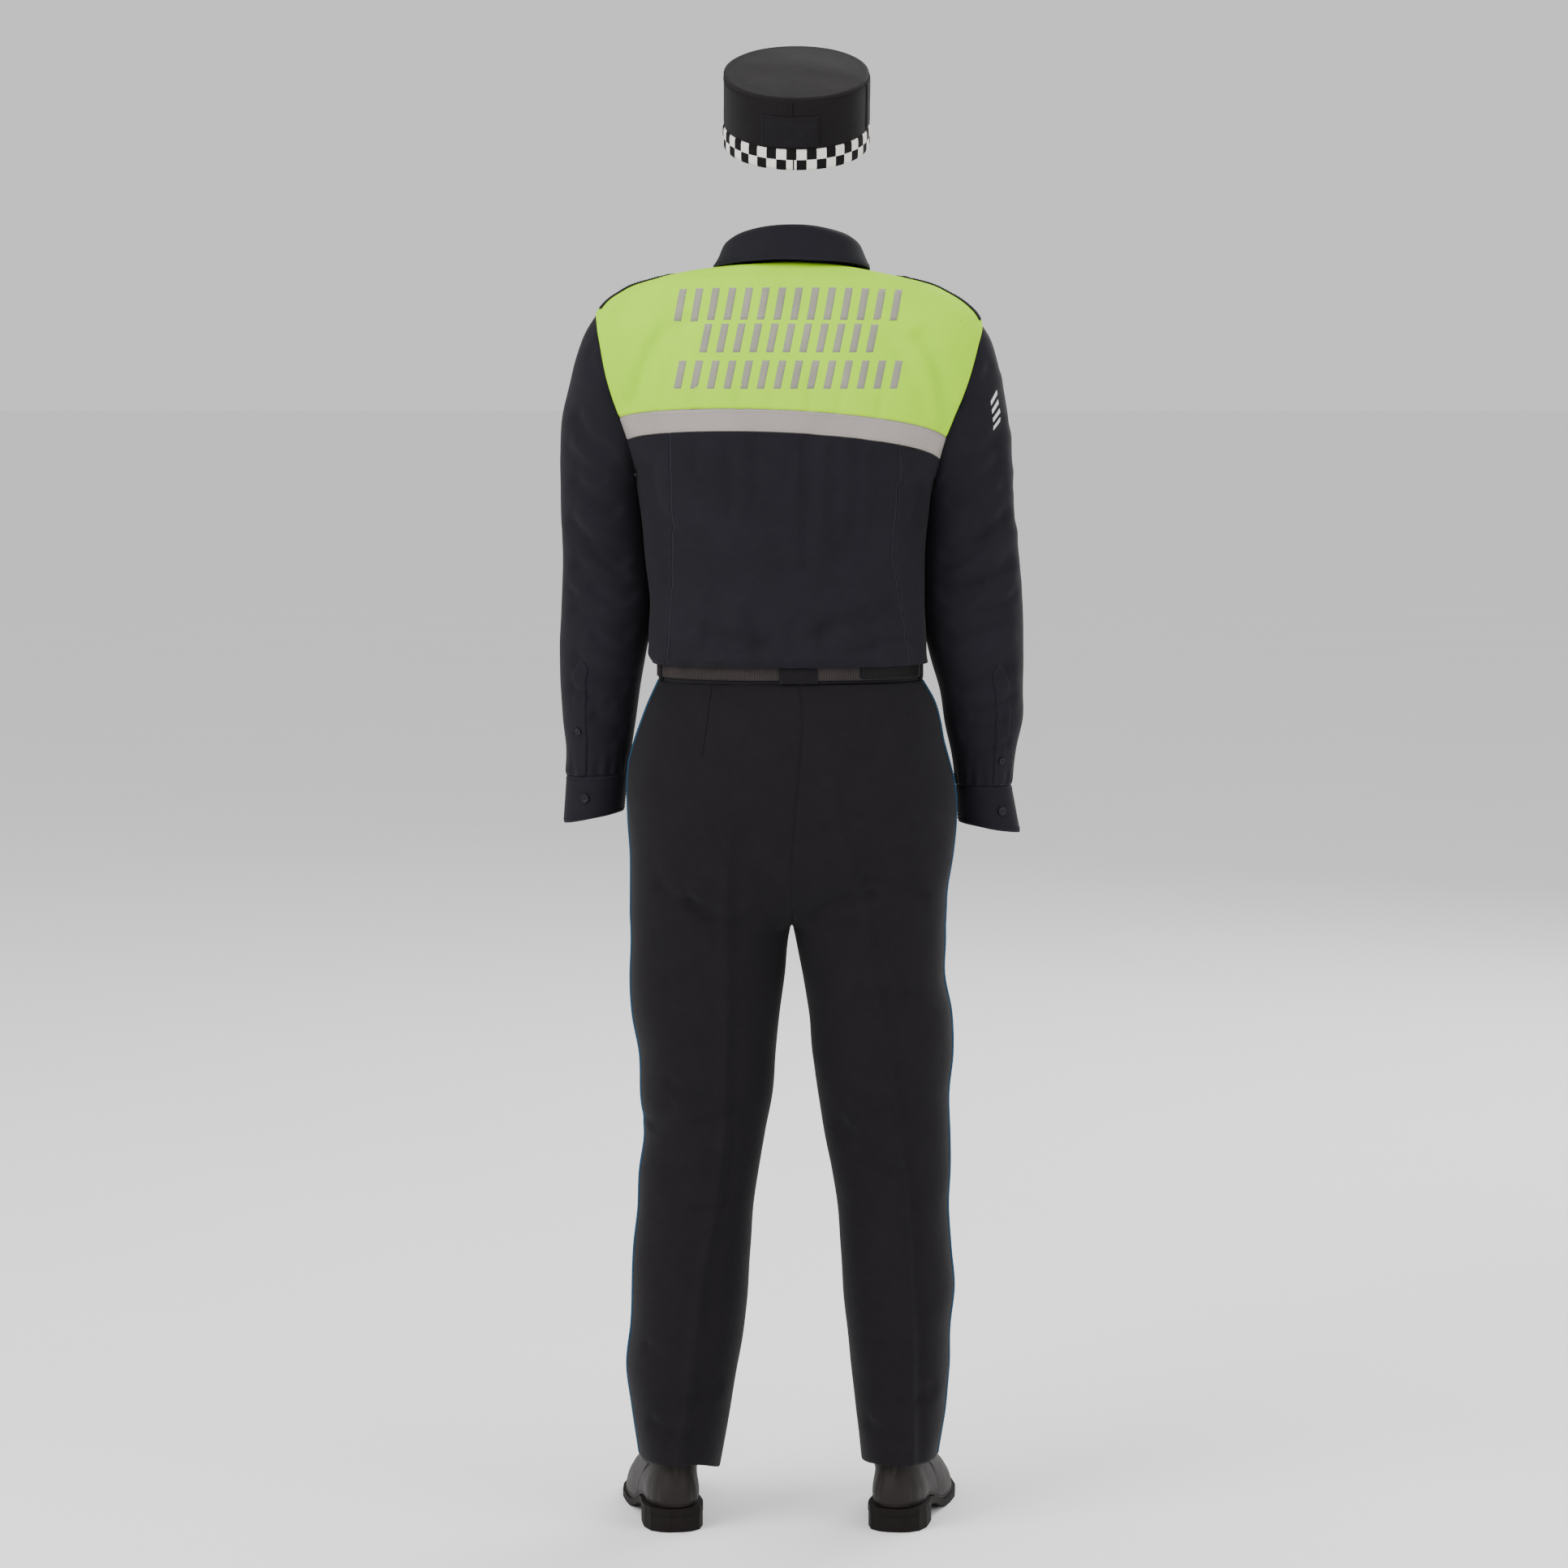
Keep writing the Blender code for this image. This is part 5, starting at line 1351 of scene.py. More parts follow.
@dataclass
class Embroidery:
    """Raised satin-stitch bars, domed pads that sink into the cloth at their edges."""

    name: str
    finish: Finish
    dome: float = 0.9
    wall: float = 0.3
    bm: bmesh.types.BMesh = field(default_factory=bmesh.new)

    def pad(self, surface: Surface, p: Points, q: Points, side: float, steps: Steps) -> None:
        """Adds one pad between four corners.

        Args:
            surface: The surface sewn on.
            p: First places on a grid of 5 by 9 points.
            q: Second places there.
            side: The sign of the outward direction.
            steps: The steps for that direction.
        """
        a, b = unit_grid(4, 8)
        rise = 0.1 + self.dome * (np.sin(np.pi * a) * np.sin(np.pi * b)) ** 0.4
        points = surface(p, q) + rise[..., None] * normal(surface, p, q, side, steps)
        spots = metres(points)
        uv = self.bm.loops.layers.uv.get("cloth") or self.bm.loops.layers.uv.new("cloth")
        made = bmesh.ops.create_grid(self.bm, x_segments=4, y_segments=8, size=1)["verts"]
        index = {vert: (round((vert.co.x + 1) * 2), round((vert.co.y + 1) * 4)) for vert in made}
        faces = {face for vert in made for face in vert.link_faces}
        for vert, at in index.items():
            vert.co = spots[at]
        for face in faces:
            face.smooth = True
            for loop in face.loops:
                at = index[loop.vert]
                loop[uv].uv = (at[1] * 0.004, at[0] * 0.002)
        if side < 0:
            bmesh.ops.reverse_faces(self.bm, faces=list(faces))

    def build(self) -> bpy.types.Object:
        """Makes all the pads one piece."""
        piece = placed(self.name, self.bm, self.finish)
        thicken(piece, self.wall)
        return piece


BUTTON_PROFILE = [(0, 0), (0.86, 0), (1, 0.7), (1, 1.6), (0.93, 2.15), (0.8, 2.2), (0.66, 1.7), (0.4, 1.45), (0, 1.4)]


@dataclass
class Button:
    """A sewn button with a rim, a dished middle and crossed thread."""

    name: str
    node: str
    radius: float
    thread: Finish = NAVY_THREAD

    def build(self, surface: Surface, p: float, q: float, side: float, steps: Steps,
              lift: float) -> None:
        """Makes the button and sews it on.

        Args:
            surface: The surface that it lies on.
            p: The first place of its middle.
            q: The second place.
            side: The sign of the outward direction.
            steps: The steps for that direction.
            lift: Millimetres from the surface to its back.
        """
        here = np.array([float(p)]), np.array([float(q)])
        out = Vector(normal(surface, *here, side, steps)[0])
        seat = Vector(metres(surface(*here)[0])) + out * lift * MM
        turned = Matrix.Translation(seat) @ out.to_track_quat("Z", "Y").to_matrix().to_4x4()
        r = self.radius * MM
        bm = bmesh.new()
        verts = [bm.verts.new((share * r, 0, height * MM)) for share, height in BUTTON_PROFILE]
        line = [bm.edges.new(pair) for pair in zip(verts, verts[1:])]
        bmesh.ops.spin(bm, geom=verts + line, cent=(0, 0, 0), axis=(0, 0, 1), angle=2 * math.pi, steps=28,
                       use_merge=True)
        bmesh.ops.remove_doubles(bm, verts=bm.verts[:], dist=1e-6)
        bmesh.ops.recalc_face_normals(bm, faces=bm.faces[:])
        bmesh.ops.transform(bm, matrix=turned, verts=bm.verts[:])
        for face in bm.faces:
            face.smooth = True
        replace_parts(placed(self.name, bm, PLASTIC), self.node)
        cross = bmesh.new()
        for turn in (45, 135):
            size = Matrix.Diagonal((0.62 * r, 0.5 * MM, 0.5 * MM, 1))
            at = turned @ Matrix.Translation((0, 0, 1.6 * MM)) @ Matrix.Rotation(math.radians(turn), 4, "Z")
            bmesh.ops.create_cube(cross, size=1, matrix=at @ size)
        bmesh.ops.bevel(cross, geom=cross.edges[:], offset=0.12 * MM, segments=2, profile=0.5, affect="EDGES",
                        material=-1)
        placed(self.name + "_thread", cross, self.thread)


@dataclass
class Cap:
    """The cap: side, crown, check band, outer layer, pile patch and peak."""

    checks_round: int = 46
    steps: Steps = TURN_STEPS
    laid_wall: float = 1.2

    def build(self) -> None:
        """Makes the cap's pieces."""
        laid = LAID_ON + self.laid_wall
        side = Sheet("cap_side_cloth", cap_wall, span(0, 360, 0, CAP_HEIGHT), (160, 24), CAP_CLOTH, 1, self.steps,
                     wall=CAP_WALL, tube=True, rolled="t", relief=self.soft, nodes=("cap_side",))
        crown = Sheet("cap_crown_cloth", cap_crown, span(0, 360, 0, 1), (160, 26), CAP_CLOTH, 1, RING_STEPS,
                      wall=CAP_WALL, tube=True, rolled="b", relief=self.crown_relief, nodes=("cap_crown",))
        layer = Sheet("cap_outer_layer_cloth", cap_wall,
                      span(CAP_LAYER.start, CAP_LAYER.end, CAP_LAYER.low, CAP_LAYER.high), (150, 22), CAP_CLOTH, 1,
                      self.steps, lift=laid, wall=self.laid_wall, rolled="lrbt", relief=self.soft,
                      nodes=("cap_outer_layer",))
        band = Sheet("cap_check_ribbon", cap_wall, span(0, 360, 0, CAP_BAND_HEIGHT), (184, 8), CHECKS, 1, self.steps,
                     lift=laid, wall=self.laid_wall, tube=True, rolled="bt", nodes=("cap_check_band",),
                     uv_scale=(self.checks_round, 2.0))
        patch = Sheet("cap_pile_patch", cap_wall,
                      span(CAP_PATCH.start, CAP_PATCH.end, CAP_PATCH.low, CAP_PATCH.high), (90, 50), PILE, 1,
                      self.steps, lift=laid + 0.3, wall=self.laid_wall, relief=self.pile, nodes=("cap_patch",))
        peak = Sheet("cap_peak_cloth", cap_peak, span(180 - PEAK_HALF_TURN, 180 + PEAK_HALF_TURN, 0, 1), (90, 18),
                     CAP_CLOTH, -1, RING_STEPS, wall=CAP_WALL, rolled="t", nodes=("cap_peak",))
        crown.build()
        for sheet in (side, layer, band, patch, peak):
            sheet.build()
        Sheet("cap_back_seam", cap_wall, span(-5.0, -3.2, CAP_PATCH.high + 1, CAP_HEIGHT - 1), (6, 20), CAP_CLOTH, 1,
              self.steps, lift=1.1, wall=0.8, relief=lambda points, across, up: 0.5 * np.sin(across)).build()
        Sheet("cap_band_seam", cap_wall, span(-2.8, -1.9, 0.4, CAP_BAND_HEIGHT - 0.4), (6, 10), CAP_CLOTH, 1,
              self.steps, lift=laid + 0.7, wall=0.6).build()
        thread = Stitching("cap_stitching", BLACK_THREAD)
        thread.row(cap_wall, np.linspace(0, 360, 400), CAP_HEIGHT - 4.0, 1, self.steps, 0.2)
        for share in (0.15, 0.4, 0.65, 0.9):
            turns = np.linspace(182 - PEAK_HALF_TURN, 178 + PEAK_HALF_TURN, 200)
            thread.row(cap_peak, turns, share, -1, RING_STEPS)
        end = np.linspace(CAP_LAYER.low + 2, CAP_LAYER.high - 2, 60)
        for turn in (CAP_LAYER.start + 2.2, CAP_LAYER.end - 2.2):
            thread.row(cap_wall, turn, end, 1, self.steps, laid + 0.2)
        edge = np.linspace(CAP_PATCH.start + 1.2, CAP_PATCH.end - 1.2, 60)
        rise = np.linspace(CAP_PATCH.low + 2, CAP_PATCH.high - 2, 60)
        for height in (CAP_PATCH.low + 2, CAP_PATCH.high - 2):
            thread.row(cap_wall, edge, height, 1, self.steps, laid + 0.8)
        for turn in (CAP_PATCH.start + 1.2, CAP_PATCH.end - 1.2):
            thread.row(cap_wall, turn, rise, 1, self.steps, laid + 0.8)
        thread.build()

    def soft(self, points: Points, across: Points, up: Points) -> Points:
        """Shallow dents in the side wall."""
        return 0.35 * crumple(points, 38.0, 2.0)

    def crown_relief(self, points: Points, across: Points, up: Points) -> Points:
        """The crown's soft dents and the ridge of its seam."""
        return 0.8 * crumple(points, 60.0, 4.0) * smooth(up / 20) + 0.7 * bell((up - 4.0) / 2.0)

    def pile(self, points: Points, across: Points, up: Points) -> Points:
        """The uneven loops of the patch."""
        return 0.35 * crumple(points, 3.1, 1.0) + 0.3 * crumple(points, 7.0, 5.0)


@dataclass
class Shirt:
    """The shirt's body: yoke, reflective band, princess panels, fronts and placket."""

    lip: float = 0.35
    waves: tuple[float, float, float] = (44.0, 0.55, 1.0)
    bar_width: float = 9.0
    bar_slant: float = 7.0
    bar_pitch: float = 20.0
    bar_rows: tuple[tuple[float, float, float, float], ...] = (
        (1489, 1521, -142, 144), (1453, 1485, -112, 116), (1412, 1444, -146, 148))
    placket_half: float = 17.5

    def __post_init__(self) -> None:
        """Draws the worn back and front."""
        self.back = folded(shirt_body(-1), SHIRT_BACK_FOLDS + FINE_BACK_FOLDS, 1, lip=self.lip, waves=self.waves,
                           fade=self.from_side, fuller=self.at_side)
        front_waves = (self.waves[0], self.waves[1], 6.0)
        self.front = folded(shirt_body(1), SHIRT_FRONT_FOLDS, -1, lip=self.lip, waves=front_waves,
                            fade=self.from_side, fuller=self.at_side)

    def from_side(self, share: Points, height: Points) -> Points:
        """How much of the folds is left towards the side seam."""
        return 1 - smooth((np.abs(share) - 0.88) / 0.12)

    def at_side(self, share: Points, height: Points) -> Points:
        """How far the side stands out towards the sleeve."""
        return 2.0 * smooth((np.abs(share) - 0.8) / 0.2) * smooth((height - 1130) / 60)

    def places(self, rows: Sequence[Row], low: object, high: object) -> Places:
        """Places between two shares of the half width, each fixed or following the height."""

        def where(a: Points, b: Points) -> tuple[Points, Points]:
            """Shares and heights."""
            at = b * (len(rows) - 1)
            level = blended_row(rows, at, 0 * at)
            edge_low = low(level) if callable(low) else low
            edge_high = high(level) if callable(high) else high
            share = edge_low + (edge_high - edge_low) * a
            return share, blended_row(rows, at, share)

        return where

    def hem(self, points: Points, across: Points, up: Points) -> Points:
        """Small gathers above the belt."""
        return 0.9 * np.sin(points[..., 0] / 5.3 + 1.6 * np.sin(points[..., 0] / 23.0)) * bell(up / 26.0)

    def princess(self, side: int) -> Callable[[Points], Points]:
        """The princess seam's share on one side, by height."""
        name = "left" if side < 0 else "right"
        heights = np.array([row.height for row in PRINCESS[::3]], float)
        line = shirt_body(-1)(side * column(PRINCESS, name, heights), heights)[..., 0]
        tall = np.linspace(heights[0], heights[-1] + 8, 90)
        shares = place_of_x(shirt_body(-1), np.interp(tall, heights, line), tall)
        return lambda height: np.interp(height, tall, shares)

    def placket_line(self, x: float) -> Callable[[Points], Points]:
        """The share of an upright line down the front, by height."""
        tall = np.linspace(1060, 1570, 120)
        shares = place_of_x(shirt_body(1), np.full(120, x), tall)
        return lambda height: np.interp(height, tall, shares)

    def build(self) -> None:
        """Makes the body's panels, seams, bars and buttons."""
        from_edge, to_edge = self.placket_line(-self.placket_half), self.placket_line(self.placket_half)
        band = [BAND_LOW, BAND_HIGH]
        full = LOWER_ROWS + YOKE_ROWS
        left, right = self.princess(-1), self.princess(1)
        panels = [
            ("back_yoke", YOKE_ROWS, -1, 1, (170, 66), HI_VIS, 1, "b", None),
            ("back_band", band, -1, 1, (170, 10), TAPE, 1, "bt", None),
            ("back_centre", LOWER_ROWS, left, right, (84, 96), NAVY, 1, "lr", self.hem),
            ("back_side_L", LOWER_ROWS, -1, left, (40, 96), NAVY, 1, "r", self.hem),
            ("back_side_R", LOWER_ROWS, right, 1, (40, 96), NAVY, 1, "l", self.hem),
        ]
        for letter, low, high in (("L", -1, from_edge), ("R", to_edge, 1)):
            panels += [
                ("front_yoke_" + letter, YOKE_ROWS, low, high, (80, 66), HI_VIS, -1, "b", None),
                ("front_band_" + letter, band, low, high, (80, 10), TAPE, -1, "bt", None),
                ("front_" + letter, LOWER_ROWS, low, high, (80, 84), NAVY, -1, "", self.hem),
            ]
        panels.append(("front_placket", full, from_edge, to_edge, (12, 150), NAVY, -1, "lr", None))
        for name, rows, low, high, grid, finish, side, rolled, relief in panels:
            sheet = Sheet(name + "_cloth", self.back if side > 0 else self.front, self.places(rows, low, high), grid,
                          finish, side, rolled=rolled, relief=relief, nodes=(name,))
            sheet.build()
        self.sew()
        self.embroider()
        for number, height in enumerate(SHIRT_BUTTON_HEIGHTS, 1):
            Button(f"front_button_{number}", f"shirt_button_{number}", BUTTON_RADIUS).build(
                shirt_body(1), 0, height, -1, SHARE_STEPS, 2 * LAID_ON)

    def sew(self) -> None:
        """Sews along the band, the princess seams and the placket."""
        steps = SHARE_STEPS
        grey = Stitching("band_stitching", GREY_THREAD)
        end = 0.985
        clear = float(self.placket_line(self.placket_half)(np.array([1380.0]))[0]) + 0.006
        for surface, side, low, high in ((self.back, 1, -end, end), (self.front, -1, -end, -clear),
                                         (self.front, -1, clear, end)):
            shares = np.linspace(low, high, int(250 * (high - low)))
            for place in (0.08, 0.92):
                heights = blended_row([BAND_LOW, BAND_HIGH], np.full(len(shares), place), shares)
                grey.row(surface, shares, heights, side, steps, 0.2)
        grey.build()
        navy = Stitching("shirt_stitching", NAVY_THREAD)
        heights = np.linspace(1082, 1346, 300)
        for side in (-1, 1):
            seam = self.princess(side)(heights)
            navy.row(self.back, seam - side * 0.016, heights, 1, steps)
        tall = np.linspace(1082, 1540, 400)
        for x in (2.5 - self.placket_half, self.placket_half - 2.5):
            navy.row(self.front, self.placket_line(x)(tall), tall, -1, steps)
        navy.build()

    def embroider(self) -> None:
        """Three rows of plain slanted bars where the yoke has its wide silver-grey stitching."""
        bars = Embroidery("yoke_bars", SILVER)
        a, b = unit_grid(4, 8)
        for low, high, start, end in self.bar_rows:
            count = int((end - start) // self.bar_pitch)
            first = (start + end - (count - 1) * self.bar_pitch) / 2
            for number in range(count):
                middle = first + number * self.bar_pitch
                x = middle + (a - 0.5) * self.bar_width + (b - 0.5) * self.bar_slant
                height = low + (high - low) * b
                bars.pad(self.back, place_of_x(self.back, x, height), height, 1, SHARE_STEPS)
        bars.build()


@dataclass
class Sleeve:
    """A long sleeve with its cuff, placket and buttons."""

    side: Side
    lip: float = 0.4
    gathers: int = 15

    def __post_init__(self) -> None:
        """Draws the worn sleeve and its cuff."""
        hand = self.side.value
        folds = LEFT_SLEEVE_FOLDS + FINE_LEFT_SLEEVE if hand < 0 else RIGHT_SLEEVE_FOLDS + FINE_RIGHT_SLEEVE
        self.steps = TURN_STEPS
        self.length = SLEEVES[hand][-1].along
        self.tube = folded(sleeve_tube(hand), folds, hand, self.steps, self.lip, (40.0, 0.6, 3.0 + hand),
                           self.from_body, self.by_body)
        self.cuff = folded(cuff_tube(hand), [], hand, self.steps, waves=(30.0, 0.3, 8.0 + hand))

    def from_body(self, turn: Points, along: Points) -> Points:
        """How much of the folds is left on the side next to the body."""
        return 1 - 0.85 * bell((turn - 180) / 38)

    def by_body(self, turn: Points, along: Points) -> Points:
        """How far the upper sleeve stands out towards the body."""
        share = along / self.length
        return 3.0 * bell((turn - 168) / 46) * smooth(share / 0.15) * (1 - smooth((share - 0.62) / 0.15))

    def gathered(self, points: Points, across: Points, up: Points) -> Points:
        """The small pleats into the cuff."""
        turn = across / np.maximum(across[-1:], 1e-6) * 2 * np.pi
        down = up[:, -1:] - up
        ends = 1 - bell(down / 2.0)
        return 1.2 * np.sin(self.gathers * turn + 0.8 * np.sin(3 * turn)) * bell(down / 20.0) * ends

    def build(self) -> None:
        """Makes the sleeve, cuff, placket, buttons and stitching."""
        hand, letter = self.side.value, self.side.letter
        places = SLEEVE_BUTTONS[hand]
        sleeve = Sheet(f"sleeve_{letter}_cloth", self.tube, span(0, 360, 0, self.length), (96, 180), NAVY, hand,
                       self.steps, tube=True, rolled="b", relief=self.gathered, nodes=(f"sleeve_{letter}",))
        reach = CUFFS[hand][-1].along
        cuff = Sheet(f"cuff_{letter}_cloth", self.cuff, span(0, 360, 0, reach), (96, 22), NAVY, hand, self.steps,
                     tube=True, rolled="bt", nodes=(f"cuff_{letter}",))
        for sheet in (sleeve, cuff):
            sheet.build()
        low, high = places.placket_turn - 9, places.placket_turn + 13
        start = SLEEVES[hand][-5].along
        placket = Sheet(f"sleeve_placket_{letter}_cloth", self.tube, self.pointed(low, high, start, self.length - 1),
                        (14, 60), NAVY, hand, self.steps, lift=LAID_ON + 1.3, wall=1.0, rolled="lrb",
                        nodes=(f"sleeve_placket_{letter}",))
        placket.build()
        Button(f"cuff_button_{letter}_sewn", f"cuff_button_{letter}", BUTTON_RADIUS).build(
            self.cuff, places.cuff_turn, places.cuff_along, hand, self.steps, LAID_ON)
        Button(f"placket_button_{letter}_sewn", f"placket_button_{letter}", SMALL_BUTTON_RADIUS).build(
            self.tube, places.placket_turn, places.placket_along, hand, self.steps, 2 * LAID_ON + 1.3)
        thread = Stitching(f"sleeve_stitching_{letter}", NAVY_THREAD)
        for at in (5.0, reach - 5.0):
            thread.row(self.cuff, np.linspace(0, 360, 260), at, hand, self.steps)
        run = np.linspace(start + 14, self.length - 4, 90)
        for turn in (low + 2, high - 2):
            thread.row(self.tube, turn, run, hand, self.steps, LAID_ON + 1.4)
        thread.build()
        if self.side is Side.RIGHT:
            self.bars()

    def pointed(self, low: float, high: float, start: float, end: float) -> Places:
        """Places of the placket, which narrows to a point at its top."""

        def where(a: Points, b: Points) -> tuple[Points, Points]:
            """Turns and millimetres along."""
            width = np.minimum(1, 0.08 + b * 9)
            return (low + high) / 2 + (a - 0.5) * (high - low) * width, start + (end - start) * b

        return where

    def bars(self) -> None:
        """Four short plain white bars near the top of the right sleeve."""
        rows = Embroidery("sleeve_bars", WHITE_THREAD, dome=0.5)
        a, b = unit_grid(4, 8)
        for number in range(4):
            along = 78 + 12 * number
            rows.pad(self.tube, 52 - 16 * b, along + 6 * a, self.side.value, self.steps)
        rows.build()


@dataclass
class ShoulderStrap:
    """A shoulder strap with a rounded end and its button."""

    side: Side
    thickness: float = 1.5

    def build(self) -> None:
        """Makes the strap, its stitching and its button."""
        hand, letter = self.side.value, self.side.letter
        size, steps = EPAULETTES[hand], (0.5, 0.3)
        strip = shoulder_strip(hand)
        lift = EPAULETTE_LIFT + self.thickness

        def where(a: Points, b: Points) -> tuple[Points, Points]:
            """Millimetres forward and height, narrowing to a rounded end at the collar."""
            end = np.sqrt(np.clip(1 - np.clip((b - 0.9) / 0.1, 0, 0.97) ** 2, 0, 1))
            return (2 * a - 1) * size.half_width * end, size.low + (size.high - size.low) * b**0.75

        strap = Sheet(f"epaulette_{letter}_cloth", strip, where, (26, 60), NAVY, hand, steps, lift=lift,
                      wall=self.thickness, rolled="lrbt", nodes=(f"epaulette_{letter}",))
        strap.build()
        Button(f"epaulette_button_{letter}_sewn", f"epaulette_button_{letter}", EPAULETTE_BUTTON_RADIUS).build(
            strip, 0, size.high - 3, hand, steps, lift + LAID_ON)
        thread = Stitching(f"epaulette_stitching_{letter}", NAVY_THREAD)
        heights = size.low + (size.high - 4 - size.low) * np.linspace(0, 0.95, 60) ** 0.75
        for across in (-size.half_width + 3.5, size.half_width - 3.5):
            thread.row(strip, across, heights, hand, steps, lift + 0.2)
        thread.build()


def neck_seam(turn: Points, along: Points) -> Points:
    """The collar's stand, running straight down into the neck's seam below its own lower edge."""
    points = collar_ring(STAND)(turn, np.maximum(along, 0))
    return points + np.minimum(along, 0)[..., None] * np.array([0, 0, 1.0])


@dataclass
class Collar:
    """The collar's stand and its turned-down leaf."""

    def build(self) -> None:
        """Makes the stand, the leaf and the stitching round the leaf's edge."""
        steps = TURN_STEPS
        leaf_surface = folded(collar_ring(LEAF, COLLAR_POINT_DROP), [], -1, steps, waves=(46.0, 0.5, 2.0))
        low, high = -180 + STAND_OPENING, 180 - STAND_OPENING
        stand = Sheet("collar_stand_cloth", neck_seam, span(low, high, -4, STAND[-1].along), (110, 14), NAVY,
                      1, steps, nodes=("collar_stand",))
        low, high = -180 + LEAF_OPENING, 180 - LEAF_OPENING
        leaf = Sheet("collar_leaf_cloth", leaf_surface, span(low, high, 0, LEAF[-1].along), (150, 26), NAVY, -1,
                     steps, wall=1.6, rolled="lrt", nodes=("collar_leaf",))
        stand.build()
        leaf.build()
        thread = Stitching("collar_stitching", NAVY_THREAD)
        turns = np.linspace(low + 3, high - 3, 320)
        thread.row(leaf_surface, turns, LEAF[-1].along - 5.0, -1, steps)
        thread.build()


@dataclass
class TrouserLeg:
    """One leg of the trousers: back, front, side stripe, dart and pocket edge."""

    side: Side
    lip: float = 0.35
    dart_low: float = 970
    dart_length: float = 82
    dart_width: float = 2.2
    pocket: tuple[float, float] = (930, 1048)

    def __post_init__(self) -> None:
        """Draws the worn back and front."""
        hand = self.side.value
        self.steps = SHARE_STEPS
        waves = (52.0, 0.7, 4.0 + hand)
        self.back = folded(trouser_panel(hand, -1), TROUSER_BACK_FOLDS + FINE_LEG_FOLDS, -hand, self.steps,
                           self.lip, waves, self.from_seam)
        self.front = folded(trouser_panel(hand, 1), TROUSER_FRONT_FOLDS + FINE_LEG_FOLDS, hand, self.steps,
                            self.lip, waves, self.from_seam)

    def from_seam(self, share: Points, height: Points) -> Points:
        """How much of the folds is left towards the centre seam, above the crotch."""
        return 1 - smooth((share - 0.9) / 0.1) * smooth((height - CROTCH + 60) / 60)

    def seat_seam(self, points: Points, across: Points, up: Points) -> Points:
        """The groove of the centre seam above the seat."""
        return -0.9 * bell((across[-1:] - across) / 1.8) * smooth((points[..., 2] - SEAT_TOP) / 60)

    def build(self) -> None:
        """Makes the leg's pieces."""
        hand, letter = self.side.value, self.side.letter
        low, high = TROUSERS[0].height, WAISTBAND_LOW - 0.3
        for name, surface, side, columns in (("back", self.back, -hand, 56), ("front", self.front, hand, 50)):
            panel = Sheet(f"trouser_{name}_{letter}_cloth", surface, span(0, 1, low, high), (columns, 250), WOOL, side,
                          self.steps, rolled="l", relief=self.seat_seam if name == "back" else None,
                          nodes=(f"trouser_{name}_{letter}",))
            panel.build()
        stripe = Sheet(f"side_stripe_{letter}_cloth", side_strip(self.back, self.front),
                       span(-STRIPE_SHARE, STRIPE_SHARE, low, high), (10, 250), BLUE, hand, self.steps,
                       lift=LAID_ON + 1.2, wall=1.0, rolled="lr", nodes=(f"side_stripe_{letter}",))
        stripe.build()
        self.dart()
        thread = Stitching(f"trouser_stitching_{letter}", BLACK_THREAD)
        tall = np.linspace(low + 2, high - 2, 400)
        for share in (-STRIPE_SHARE + 0.008, STRIPE_SHARE - 0.008):
            thread.row(side_strip(self.back, self.front), share, tall, hand, self.steps, 1.7)
        start, end = self.pocket
        edge = np.linspace(start, end, 80)
        thread.row(self.back, 0.1 + 0.05 * (edge - start) / (end - start), edge, -hand, self.steps)
        thread.build()

    def dart(self) -> None:
        """The back dart, a narrow sewn ridge from the waist."""
        hand, letter = self.side.value, self.side.letter
        line = DARTS[hand]

        def where(a: Points, b: Points) -> tuple[Points, Points]:
            """Shares and heights along the dart."""
            height = self.dart_low + self.dart_length * b
            x = line.end + (line.top - line.end) * b + (a - 0.5) * self.dart_width * (0.3 + 0.7 * b)
            return place_of_x(self.back, x, height, 0.0, 1.0), height

        Sheet(f"back_dart_{letter}", self.back, where, (5, 60), WOOL, 1, self.steps, lift=0.6, wall=0.5,
              relief=lambda points, across, up: 0.4 * np.sin(np.pi * across / self.dart_width)).build()


def loop_profile(turn: Points, height: Points) -> Points:
    """A belt loop's inner face: on the waistband at both ends and over the belt between them."""
    over = smooth((height - LOOP_LOW) / 2.2) * smooth((LOOP_HIGH - height) / 1.4)
    lift = LAID_ON + (BELT_WALL + 2 * LAID_ON) * over
    return waist_ring(turn, height) + lift[..., None] * normal(waist_ring, turn, height, 1, (0.5, 0.5))


